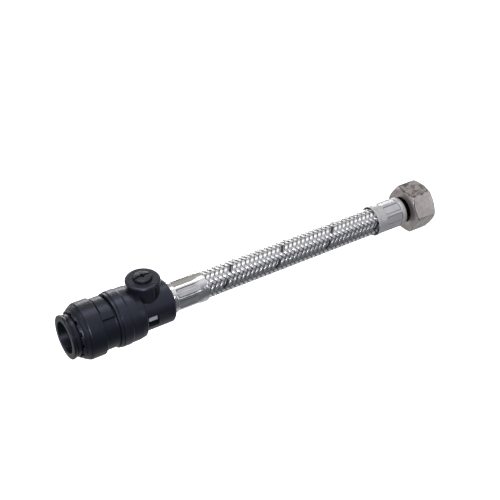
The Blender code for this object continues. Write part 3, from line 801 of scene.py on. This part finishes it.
def stem_mesh():
    head = rounded(
        [
            (20.8, 0.0), (20.7, 2.4, 1.5), (20.52, 3.6, 0.6), (20.14, 4.48, 0.2), (19.8, 4.62, 0.1), (13.7, 4.68, 0.1), (13.7, 3.25, 0.1), (11.5, 3.25, 0.1), (11.5, 4.68, 0.1), (8.4, 4.68, 0.1),
            (8.4, 5.4, 0.1), (7.6, 5.4, 0.1), (7.6, 0.0),
        ],
        4, closed=False,
    )
    ob = temp("stem_work", sweep("stem", head, np.array(turns(128)) + 1.1, closed=False, upright=VALVE_X))
    boolean(ob, temp("tang", block((VALVE_X - 3.0, VALVE_X + 3.0), (-1.0, 1.0), (4.6, 8.1), 0.15)), "UNION")
    boolean(ob, temp("slot", block((VALVE_X - 6.0, VALVE_X + 6.0), (-0.6, 0.6), (18.6, 23.0), 0.1)), "DIFFERENCE")
    bm = bmesh.new()
    bmesh.ops.create_cone(bm, cap_ends=True, segments=4, radius1=1.55 * MM, radius2=1.95 * MM, depth=4.0 * MM)
    bmesh.ops.bevel(bm, geom=[e for e in bm.edges if abs(e.verts[0].co.z - e.verts[1].co.z) > 1e-4], offset=0.2 * MM, segments=3, affect="EDGES")
    for v in bm.verts:
        v.co += Vector((FACE_X + VALVE_X * MM, 0, AXIS_Z + 20.35 * MM))
    eye = bpy.data.meshes.new("eye")
    bm.to_mesh(eye)
    bm.free()
    boolean(ob, temp("eye", eye), "DIFFERENCE")
    mesh = ob.data
    bpy.data.objects.remove(ob)
    return tidy(mesh, 1e-7)


piece("stem_head", stem_mesh(), "stem", ["valve_stem"], M["stem"])

# ------------------------------------------------------------------ ferrules


def panel_depth(delta, flat, half, full):
    """Radius of a crimp panel at delta degrees from its middle: flat across, rising to the rib at its side."""
    d = abs(delta)
    chord = flat / math.cos(math.radians(min(d, 22.0)))
    rise = smooth(half - 1.0, half + 1.0, d)
    return min(full, chord) * (1 - rise) + full * rise - 0.10 * math.exp(-(((d - half + 1.2) / 0.8) ** 2))


def panel_edge(x, from_middle, span, half, corner=0.8):
    """Millimetres outside (+) or inside (-) the rounded outline of a crimp panel."""
    px = abs(x - (span[0] + span[1]) / 2) - ((span[1] - span[0]) / 2 - corner)
    py = abs(from_middle) * 0.1396 - (half * 0.1396 - corner)
    return math.hypot(max(px, 0.0), max(py, 0.0)) + min(max(px, py), 0.0) - corner


def outlined(mesh, rib, span, half, width=0.22, open_end=False):
    """Stores the strength of the panel outline at each point, for the material to paint a dark line of painted shade.
    """
    value = []
    for v in mesh.vertices:
        x, y, z = (v.co.x - FACE_X) / MM, v.co.y / MM, (v.co.z - AXIS_Z) / MM
        phi = math.degrees(math.atan2(z, -y))
        delta = 22.5 - abs((phi - rib + 22.5) % 45.0 - 22.5)
        d = panel_edge(x, delta, span, half)
        g = math.exp(-((d + 0.18) / width) ** 2) if math.hypot(y, z) > 7.2 else 0.0
        if open_end:
            g *= 1 - smooth(span[1] - 2.5, span[1] - 1.0, x)
        value.append(g)
    at = mesh.attributes.new("outline", "FLOAT", "POINT")
    at.data.foreach_set("value", value)
    return mesh


def ferrule(name, x0, x1, full, rib_angle, flat, half, in_ramp, out_ramp, ends, inner, phis, extra=None):
    xs = np.unique(
        np.concatenate(
            [
                np.linspace(x0, x0 + 1.2, 9), np.linspace(x0 + 1.2, in_ramp[0], 4), np.linspace(in_ramp[0], in_ramp[1], 9),
                np.linspace(in_ramp[1], out_ramp[0], 20), np.linspace(out_ramp[0], out_ramp[1], 14), np.linspace(out_ramp[1], x1 - 1.2, 8), np.linspace(x1 - 1.2, x1, 9),
            ]
        ).round(4)
    )

    def profile(phi):
        delta = (phi - rib_angle + 22.5) % 45.0 - 22.5  # from the nearest rib
        from_middle = 22.5 - abs(delta)
        pr = panel_depth(from_middle, flat, half, full)
        rows = []
        for x in xs:
            r = ends(x, full)
            inside = smooth(in_ramp[0], in_ramp[1], x) * (1 - smooth(out_ramp[0], out_ramp[1], x))
            r -= (full - pr) * inside
            if from_middle < half:
                r -= 0.09 * math.exp(-(((x - in_ramp[1] - 0.1) / 0.22) ** 2))
            if extra:
                r += extra(x, phi)
            rows.append((x, r))
        return rows + inner

    return sweep(name, profile, phis)


def panel_turns(rib_angle):
    a = []
    for i in range(8):
        for d in (0, 1.5, 2.6, 3.2, 3.8, 4.4, 5.0, 5.6, 6.4, 8, 10.5, 13, 16, 19, 22.5, 26, 29, 32, 34.5, 37, 38.6, 39.4, 40.0, 40.6, 41.2, 41.8, 42.4, 43.5):
            a.append((rib_angle + 45 * i + d) % 360)
    return sorted(set(round(v, 4) for v in a))


IN_X = (along("ferrule_inlet", 0), HOSE_IN)
OUT_X = (HOSE_OUT, along("ferrule_outlet", 1) + 0.9)  # the spun end stands a little proud


def inlet_ends(x, full):
    a, b = IN_X
    r = full
    if x < a + 0.55:
        t = (a + 0.55 - x) / 0.55
        r = full - 0.55 * (1 - math.sqrt(max(0.0, 1 - t * t)))
    if x > b - 0.3:
        t = (x - (b - 0.3)) / 0.3
        r = full - 0.3 * (1 - math.sqrt(max(0.0, 1 - t * t)))
    return r


def mottle(x, phi):
    """Slight unevenness left by the crimping tool."""
    a = math.radians(phi)
    return 0.018 * math.sin(3.1 * x + 2.0 * math.sin(a * 3)) * math.sin(5 * a + 0.7 * x) * smooth(IN_X[0] + 13.0, IN_X[0] + 15.5, x)


piece(
    "crimp_sleeve_inlet",
    outlined(
        ferrule(
            "f_in", IN_X[0], IN_X[1], 8.33, 66.0, 7.64, 17.2, (60.5, 61.2), (71.6, 75.6), inlet_ends,
            [(IN_X[1] - 0.02, 7.85), (IN_X[1] - 0.2, 7.66), (59.3, 7.66), (59.2, 7.5), (59.2, 5.6), (59.0, 5.5), (58.35, 5.5), (IN_X[0] + 0.02, 5.65)],
            panel_turns(66.0), mottle,
        ),
        66.0, (60.9, 73.6), 17.2, open_end=True,
    ),
    "hose_1", ["ferrule_inlet"], M["ferrule_in"], sharp=40, edge_gain=1.4,
)


def outlet_ends(x, full):
    a, b = OUT_X
    r = full
    r += 0.30 * (1 - smooth(a + 0.9, a + 2.6, x))
    if x < a + 0.25:
        t = (a + 0.25 - x) / 0.25
        r -= 0.25 * (1 - math.sqrt(max(0.0, 1 - t * t)))
    if x > b - 2.0:
        t = (x - (b - 2.0)) / 2.0
        r -= 0.90 * (1 - math.sqrt(max(0.0, 1 - t * t)))
    return r


def dots(x, phi):
    out = 0.0
    for px_, pa in ((190.9, 77.0), (190.1, 45.0), (191.5, 43.0), (190.4, 19.6), (191.2, -8.0), (190.6, 112.0), (191.1, 150.0), (190.5, 190.0), (191.0, 235.0), (190.4, 280.0), (191.3, 318.0)):
        da = ((phi - pa + 180) % 360 - 180) * math.pi / 180 * 8.3
        d2 = (x - px_) ** 2 + da * da
        if d2 < 0.6:
            out -= 0.07 * math.exp(-d2 / 0.06)
    return out


def outlet_turns():
    a = set(panel_turns(38.5)) | set(turns(240))
    return sorted(a)


def outlet_mesh():
    xs_inner = [
        (OUT_X[1] - 0.02, 6.9), (OUT_X[1] - 0.25, 6.75), (OUT_X[1] - 0.3, 5.5), (OUT_X[1] - 1.2, 5.5), (OUT_X[1] - 1.25, 7.5), (OUT_X[1] - 1.4, 7.66), (189.2, 7.66), (188.4, 7.78), (187.75, 8.12), (187.62, 8.2),
    ]

    def extra(x, phi):
        return dots(x, phi) if 189.0 < x < 192.6 else 0.0

    xs = np.unique(
        np.concatenate(
            [
                np.linspace(OUT_X[0], OUT_X[0] + 0.3, 5), np.linspace(OUT_X[0] + 0.3, 189.8, 7), np.linspace(189.8, 192.0, 16), np.linspace(192.0, 193.7, 4),
                np.linspace(193.7, 194.7, 9), np.linspace(194.7, 203.6, 18), np.linspace(203.6, 205.2, 10), np.linspace(205.2, OUT_X[1], 10),
            ]
        ).round(4)
    )
    full, flat, half, rib = 8.24, 7.66, 17.0, 38.5

    def profile(phi):
        delta = (phi - rib + 22.5) % 45.0 - 22.5
        pr = panel_depth(22.5 - abs(delta), flat, half, full)
        rows = []
        for x in xs:
            inside = smooth(193.75, 194.35, x) * (1 - smooth(203.9, 205.3, x))
            line = 0.10 * math.exp(-(((x - 194.4) / 0.2) ** 2)) if 22.5 - abs(delta) < half else 0.0
            rows.append((x, outlet_ends(x, full) - (full - pr) * inside - line + extra(x, phi)))
        return rows + xs_inner

    return sweep("f_out", profile, outlet_turns())


piece("crimp_sleeve_outlet", outlined(outlet_mesh(), 38.5, (194.0, 204.4), 17.0), "hose_7", ["ferrule_outlet"], M["ferrule_out"], sharp=40, edge_gain=1.4)

# ------------------------------------------------------------------ braid

LEAD = 32.4
CARRIERS = 12
R_MID, RISE, WIRES = 6.90, 0.23, 7
RIDGE, PILLOW = 0.06, 0.19
A_PHASE, B_PHASE, TRACER = 0.43, 0.80, 3
HALF = 0.422


def weave(t):
    return np.tanh(1.1 * np.cos(np.pi / 2 * (t - 0.5))) / math.tanh(1.1)


def braid_section():
    """Points across one carrier: (offset across as a share of the carrier pitch, height above its middle)."""
    u, h = [], []
    w = HALF / WIRES
    for i in range(WIRES):
        c = -HALF + (2 * i + 1) * w
        for a in (172.0, 125.0, 90.0, 55.0):
            u.append(c + w * math.cos(math.radians(a)))
            h.append(RIDGE * math.sin(math.radians(a)))
    u += [HALF, HALF * 0.45, -HALF * 0.45, -HALF]
    h += [0.0, -0.05, -0.05, 0.0]
    return np.array(u), np.array(h)


def braid_piece(name, x0, x1):
    u, h = braid_section()
    side = np.abs(u / HALF)
    ridge = np.clip(1 - h / RIDGE, 0, 1)
    n = max(3, int(round((x1 - x0) / 0.27)))
    x = np.linspace(x0, x1, n + 1)
    m = len(u)
    verts, quads, caps, qm, cm, strand, under_shade = [], [], [], [], [], [], []
    rng = np.random.RandomState(7)
    tone = rng.rand(2, CARRIERS)
    for fam in (0, 1):
        for k in range(CARRIERS):
            X = np.repeat(x[:, None], m, 1)
            U = np.repeat(u[None, :], n + 1, 0)
            if fam == 0:
                a = k + A_PHASE + U
                phi = 30 * a + 360 * X / LEAD
                b = a + 24 * X / LEAD
                s = weave((b - B_PHASE) + (k - TRACER))
            else:
                b = k + B_PHASE + U
                phi = 30 * b - 360 * X / LEAD
                a = b - 24 * X / LEAD
                s = -weave(k + ((a - A_PHASE) - TRACER))
            puff = PILLOW * (1 - side**2)[None, :] * (0.35 + 0.65 * (1 + s) / 2)  # pressed flat where it dives under
            r = R_MID + RISE * s + h[None, :] + puff
            base = sum(len(v) for v in verts)
            verts.append(hose_points(X, r, phi).reshape(-1, 3))
            i, j = np.meshgrid(np.arange(n), np.arange(m), indexing="ij")
            j2 = (j + 1) % m
            q = np.stack([i * m + j, i * m + j2, (i + 1) * m + j2, (i + 1) * m + j], -1).reshape(-1, 4) + base
            first, last = list(range(base, base + m)), list(range(base + n * m, base + (n + 1) * m))
            tracer = fam == 0 and k == TRACER
            ring = np.arange(m) // 4
            black = ((ring >= 1) & (ring <= 5) & tracer).astype(int)
            quads.append(q)
            caps += [first[::-1], last]
            qm.append(np.tile(black, n))
            cm += [0, 0]
            strand.append(np.full((n + 1) * m, tone[fam, k]))
            # painted shade mask: dark in the grooves between wires and strands and where the strand dives under
            groove = 0.78 * side**4 + 0.18 * ridge
            under_shade.append(np.clip(1.05 * (1 - s) / 2 + groove[None, :], 0, 1).ravel())
    mesh = new_mesh(
        name, world(np.concatenate(verts)), np.concatenate(quads), caps, [M["wire"], M["tracer"]],
        np.concatenate(qm), np.array(cm),
    )
    if volume_sign(mesh) < 0:
        mesh.flip_normals()
    finish_mesh(mesh, 75.0)
    for key, data in (("strand", strand), ("under_shade", under_shade)):
        at = mesh.attributes.new(key, "FLOAT", "POINT")
        at.data.foreach_set("value", np.concatenate(data).astype(np.float32))
    return mesh


def liner_piece(name, x0, x1):
    n = max(2, int(round((x1 - x0) / 1.1)))
    xs = np.linspace(x0, x1, n + 1)
    prof = [(v, 6.60) for v in xs] + [(v, 5.1) for v in xs[::-1]]
    mesh = sweep(name, prof, turns(72))
    mesh.materials.append(M["liner"])
    return finish_mesh(mesh, 50)


def start_end(x0, x1):
    return tuple(world((x0, 0, 0))), tuple(world((x1, 0, 0)))


def hose_bits():
    ends = [("inlet", HOSE_IN - 4.5, HOSE_IN, "hose_1", 1), ("outlet", HOSE_OUT, HOSE_OUT + 5.5, "hose_7", 7)]
    for tag, x0, x1, body, k in ends:
        b = put(f"braid_{tag}_end", braid_piece("braid", x0, x1))
        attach(b, body)
        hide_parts(f"hose_braid_{k}")
        li = put(f"liner_{tag}_end", liner_piece("liner", x0 - (8 if k == 1 else 0), x1 + (4 if k == 7 else 0)))
        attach(li, body)
        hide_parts(f"hose_liner_{k}")
    for i in range(len(bends)):
        x0, x1 = HOSE_IN + PITCH * i, HOSE_IN + PITCH * (i + 1)
        s, e = start_end(x0, x1)
        b = put(f"braid_span_{i + 1}", braid_piece("braid", x0, x1))
        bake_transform(b)
        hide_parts(f"hose_braid_{i + 1}", f"hose_braid_{i + 2}")
        li = put(f"liner_span_{i + 1}", liner_piece("liner", x0, x1))
        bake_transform(li)
        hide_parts(f"hose_liner_{i + 1}", f"hose_liner_{i + 2}")


hose_bits()

# ------------------------------------------------------------------ swivel nut with a helical 1/2 inch thread

NUT = (along("swivel_nut", 0), along("swivel_nut", 1))
AF = (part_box("swivel_nut")[1].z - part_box("swivel_nut")[0].z) / MM
THREAD = (9.31, 10.46, 1.814)


def hex_radius(phi):
    """A hexagon with corners at 0, 60 ... degrees and slightly eased edges."""
    d = (phi + 30.0) % 60.0 - 30.0  # from the nearest corner
    face = 30.0 - abs(d)
    r = AF / 2 / math.cos(math.radians(face))
    rho = 0.5
    c = (AF / 2 - rho) / math.cos(math.radians(30.0))
    s = c * math.sin(math.radians(abs(d)))
    if abs(d) < 1.06 and s < rho / 2:
        r = c * math.cos(math.radians(d)) + math.sqrt(rho * rho - s * s)
    return r


def thread_radius(x, phi):
    lo, hi, pitch = THREAD
    t = (x / pitch - phi / 360.0) % 1.0
    tri = 1 - abs(2 * t - 1)
    v = min(1.0, max(0.0, (tri - 0.16) / 0.68))
    r = lo + (hi - lo) * (0.5 - 0.5 * math.cos(math.pi * v)) ** 0.9
    return r


def nut_profile(phi):
    a, b = NUT
    rh = hex_radius(phi)
    # corner forms: a cone at the front, a rounder one at the mouth end
    front_x = a + 0.02 + max(0.0, (rh - 12.0)) * (1.0 / 1.75)
    rear_x = b - 0.02 - max(0.0, (rh - 11.55)) * 0.72
    pts = [
        (a, 7.55, 0.12), (a, 10.2, 0.0), (a, 11.95, 0.06), (front_x - 0.02, rh, 0.16), (front_x + 0.22, rh, 0.0), (front_x + 0.62, rh, 0.0), (front_x + 0.85, rh, 0.0), ((front_x + rear_x) / 2, rh, 0.0),
        (rear_x, rh, 0.45), (b - 0.02 - 0.25 * max(0.0, (rh - 11.55)) * 0.72, 11.55 + 0.45 * max(0.0, rh - 11.55), 0.5), (b, 11.45, 0.12), (b, 11.0, 0.0), (b, 10.75, 0.08),
    ]
    out = rounded(pts + [(b - 0.5, 10.5)], 3, closed=False)
    xs = np.arange(b - 0.5, 216.95, -0.13)
    for x in xs:
        r = thread_radius(x, phi)
        lead_in = 9.31 + (10.72 - 9.31) * smooth(b - 1.5, b - 0.1, x)
        fade = smooth(217.0, 217.9, x)
        r = 9.6 + (r - 9.6) * fade
        out.append((x, max(r, lead_in)))
    out += rounded([(216.9, 9.6), (212.4, 9.6, 0.3), (212.4, 7.4, 0.2), (a + 0.2, 7.4, 0.1)], 3, closed=False)
    return out


def nut_turns():
    a = []
    for k in range(6):
        for d in (0, 0.25, 0.5, 0.75, 1.0, 1.4, 2.4, 3.4, 5):
            a += [(60 * k + d) % 360, (60 * k - d) % 360]
        for d in np.arange(7.5, 54, 2.5):
            a.append((60 * k + d) % 360)
    return sorted(set(round(v, 4) for v in a))



def nut_mesh():
    """The nut, with the strength of the painted shade lines beside its corner and chamfer edges stored for the
    material.
    """
    mesh = sweep("nut", nut_profile, nut_turns())
    value = []
    for v in mesh.vertices:
        x, y, z = (v.co.x - FACE_X) / MM, v.co.y / MM, (v.co.z - AXIS_Z) / MM
        r, phi = math.hypot(y, z), math.degrees(math.atan2(z, -y)) % 360
        rh = hex_radius(phi)
        side = (phi + 30.0) % 60.0 - 30.0
        front_x = NUT[0] + 0.02 + max(0.0, (rh - 12.0)) / 1.75
        g = 0.0
        # painted shade: a dark line just behind the front chamfer and on one side of each corner
        if abs(r - rh) < 0.05 and r > 11.9:
            g = 1.0 if 0.15 < x - front_x < 0.7 else 0.0
            g += 0.85 * math.exp(-(((side - 2.4) / 1.0) ** 2)) * (1 - smooth(NUT[1] - 3.0, NUT[1] - 2.0, x))
        value.append(min(1.0, g))
    at = mesh.attributes.new("outline", "FLOAT", "POINT")
    at.data.foreach_set("value", value)
    return mesh


piece("hexagon_nut", nut_mesh(), "nut", ["swivel_nut"], M["nickel"], sharp=28, edge_gain=1.8)

piece(
    "washer",
    sweep("washer", rounded([(216.8, 9.1, 0.3), (214.8, 9.1, 0.25), (214.8, 5.0, 0.25), (216.8, 5.0, 0.3)], 4), turns(120)),
    "hose_7", ["nut_washer"], M["rubber"],
)


def tail_profile():
    pts = [
        (214.5, 8.6, 0.2), (214.2, 9.0, 0.2), (212.9, 9.0, 0.2), (212.7, 8.7, 0.1), (212.7, 5.2, 0.3), (204.9, 5.2, 0.1), (204.9, 6.2, 0.15), (203.9, 6.2, 0.1), (203.9, 4.5, 0.1),
        (202.9, 4.5, 0.05),
    ]
    x = 202.9
    pitch = (202.9 - 188.5) / 6
    for _ in range(6):
        pts += [(x, 4.72, 0.06), (x - 0.3, 4.72, 0.06), (x - pitch, 4.3, 0.05)]
        x -= pitch
    return rounded(pts + [(187.9, 4.0, 0.1), (187.9, 3.6, 0.1), (214.5, 3.6, 0.2)], 3)


piece("flanged_tail", sweep("tail", tail_profile(), turns(96)), "hose_7", ["nut_tail"], M["tail"])


def retainer_mesh():
    ob = temp(
        "retainer_work",
        sweep("ret", rounded([(56.8, 8.3, 0.2), (48.0, 8.3, 0.15), (48.0, 7.0, 0.1), (55.6, 7.0, 0.1), (55.6, 5.6, 0.1), (56.8, 5.6, 0.15)], 3), turns(120)),
    )
    for y in ((-7.9, -7.05), (7.05, 7.9)):
        boolean(ob, temp("arm", block((41.4, 48.6), y, (-2.4, 2.4), 0.12)), "UNION")
    boolean(ob, temp("arm", block((41.4, 48.6), (-2.4, 2.4), (-7.9, -7.05), 0.12)), "UNION")
    for y in ((-10.9, -7.5), (7.5, 10.9)):
        boolean(ob, temp("tab", block((41.5, 46.3), y, (-0.7, 2.1), 0.2)), "UNION")
    boolean(ob, temp("foot", block((41.4, 43.0), (-4.2, 4.2), (-11.0, -7.5), 0.2)), "UNION")
    boolean(ob, temp("relief", block((46.0, 50.4), (-4.7, 4.7), (5.0, 10.0), 0.1)), "DIFFERENCE")
    mesh = ob.data
    bpy.data.objects.remove(ob)
    return tidy(mesh, 1e-7)


piece("clip_ring", retainer_mesh(), "valve", ["tail_retainer"], M["acetal"])

# ------------------------------------------------------------------ CAD nodes that stay, with their finish

for node, key in {
    "ball_seat_inlet": "cad_ptfe", "ball_seat_outlet": "cad_ptfe", "valve_ball": "cad_ball", "stem_o_ring": "cad_rubber",
    "tail_o_ring": "cad_rubber", "hose_tail": "cad_brass",
}.items():
    ob = frame["nodes"][node]
    ob.data.materials.clear()
    ob.data.materials.append(M[key])

# ------------------------------------------------------------------ floor, light and camera


def floor():
    bm = bmesh.new()
    bmesh.ops.create_grid(bm, x_segments=1, y_segments=1, size=30.0)
    mesh = bpy.data.meshes.new("floor")
    bm.to_mesh(mesh)
    bm.free()
    ob = put("floor", mesh)
    ob.location.z = -0.20  # well below, so a drooping hose stays in sight
    n = Nodes("pale_floor")
    n.b.inputs["Base Color"].default_value = (0.93, 0.93, 0.935, 1)
    n.b.inputs["Roughness"].default_value = 0.9
    n.b.inputs["Emission Color"].default_value = (1, 1, 1, 1)
    n.b.inputs["Emission Strength"].default_value = 0.9
    mesh.materials.append(n.mat)
    ob.visible_glossy = False
    ob.visible_diffuse = False
    return ob


SKY = [  # angle round the hose from the front horizon over the top, brightness, tint
    (-180, 1.00, (1.0, 0.99, 0.97)), (-163, 0.75, (1.0, 0.99, 0.97)), (-148, 0.47, (1.0, 0.99, 0.97)), (-115, 0.50, (1.0, 0.99, 0.98)), (-88, 0.60, (0.99, 1.0, 1.02)), (-66, 0.38, (0.96, 1.0, 1.07)),
    (-44, 0.15, (0.95, 1.0, 1.08)), (-12, 0.15, (0.94, 1.0, 1.10)), (14, 0.20, (0.94, 0.99, 1.09)), (38, 0.44, (0.96, 0.98, 1.07)), (58, 0.80, (0.99, 0.99, 1.04)),
    (78, 0.90, (1.0, 1.0, 1.0)), (100, 0.84, (1.0, 0.99, 0.98)), (118, 0.66, (1.0, 0.985, 0.96)), (136, 0.40, (1.0, 0.97, 0.93)), (152, 0.48, (1.0, 0.98, 0.95)),
    (168, 0.95, (1.0, 0.985, 0.96)), (180, 1.00, (1.0, 0.99, 0.97)),
]


def sky():
    """A soft studio round the hose: a broad bright top and back, a dimmer front and a dark side below."""
    w = bpy.data.worlds.new("studio")
    scene.world = w
    w.use_nodes = True
    t = w.node_tree
    bg = t.nodes["Background"]
    co = t.nodes.new("ShaderNodeTexCoord")
    sep = t.nodes.new("ShaderNodeSeparateXYZ")
    neg = t.nodes.new("ShaderNodeMath")
    neg.operation = "MULTIPLY"
    neg.inputs[1].default_value = -1.0
    ang = t.nodes.new("ShaderNodeMath")
    ang.operation = "ARCTAN2"
    span = t.nodes.new("ShaderNodeMapRange")
    span.inputs["From Min"].default_value = -math.pi
    span.inputs["From Max"].default_value = math.pi
    ramp = t.nodes.new("ShaderNodeValToRGB")
    t.links.new(co.outputs["Generated"], sep.inputs[0])
    t.links.new(sep.outputs[1], neg.inputs[0])
    t.links.new(sep.outputs[2], ang.inputs[0])
    t.links.new(neg.outputs[0], ang.inputs[1])
    t.links.new(ang.outputs[0], span.inputs["Value"])
    t.links.new(span.outputs["Result"], ramp.inputs[0])
    seen = t.nodes.new("ShaderNodeLightPath")
    mix = t.nodes.new("ShaderNodeMix")
    mix.data_type = "RGBA"
    t.links.new(seen.outputs["Is Camera Ray"], mix.inputs[0])
    t.links.new(ramp.outputs[0], mix.inputs[6])
    mix.inputs[7].default_value = (0.945, 0.945, 0.95, 1)
    t.links.new(mix.outputs[2], bg.inputs["Color"])
    e = ramp.color_ramp.elements
    top = max(v for _, v, _ in SKY)
    for i, (a, v, c) in enumerate(SKY):
        el = e[i] if i in (0,) else (e[len(e) - 1] if i == len(SKY) - 1 else e.new((a + 180) / 360))
        el.position = (a + 180) / 360
        el.color = (*(min(1.0, v / top / 1.06 * k) for k in c), 1.0)
    bg.inputs["Strength"].default_value = top * 1.06


def area(name, where, target, size, size_y, power, colour=(1, 1, 1)):
    d = bpy.data.lights.new(name, "AREA")
    d.shape = "RECTANGLE"
    d.size, d.size_y = size, size_y
    d.energy = power
    d.color = colour
    ob = bpy.data.objects.new(name, d)
    scene.collection.objects.link(ob)
    ob.location = where
    ob.rotation_euler = (Vector(target) - Vector(where)).to_track_quat("-Z", "Y").to_euler()
    ob.visible_camera = False
    return ob


floor()
sky()
centre = (0.0, 0.0, AXIS_Z)
area("back_softbox", (0.40, 0.95, 0.20), centre, 0.60, 0.16, 2.4, (1.0, 0.99, 0.975))
area("camera_softbox", (-0.42, -0.80, 0.55), centre, 0.26, 0.26, 5.4, (0.98, 0.99, 1.0))
area("top_softbox", (0.0, 0.22, 1.0), centre, 0.9, 0.32, 2.6, (0.97, 0.985, 1.0))
area("right_softbox", (0.55, -0.80, 0.34), (0.1, 0.0, AXIS_Z), 0.34, 0.34, 0.5, (1.0, 0.985, 0.98))

cam_data = bpy.data.cameras.new("camera")
cam_data.sensor_width = 36.0
cam_data.lens = 85.65
cam = bpy.data.objects.new("camera", cam_data)
scene.collection.objects.link(cam)
target = Vector(world((110.34, 3.90, 8.05)))
az, el, dist = math.radians(-31.99), math.radians(36.68), 0.6316
cam.location = target + dist * Vector((math.sin(az) * math.cos(el), -math.cos(az) * math.cos(el), math.sin(el)))
cam.rotation_euler = (target - cam.location).to_track_quat("-Z", "Y").to_euler()
scene.camera = cam
scene.view_settings.view_transform = "Standard"
scene.view_settings.look = "None"
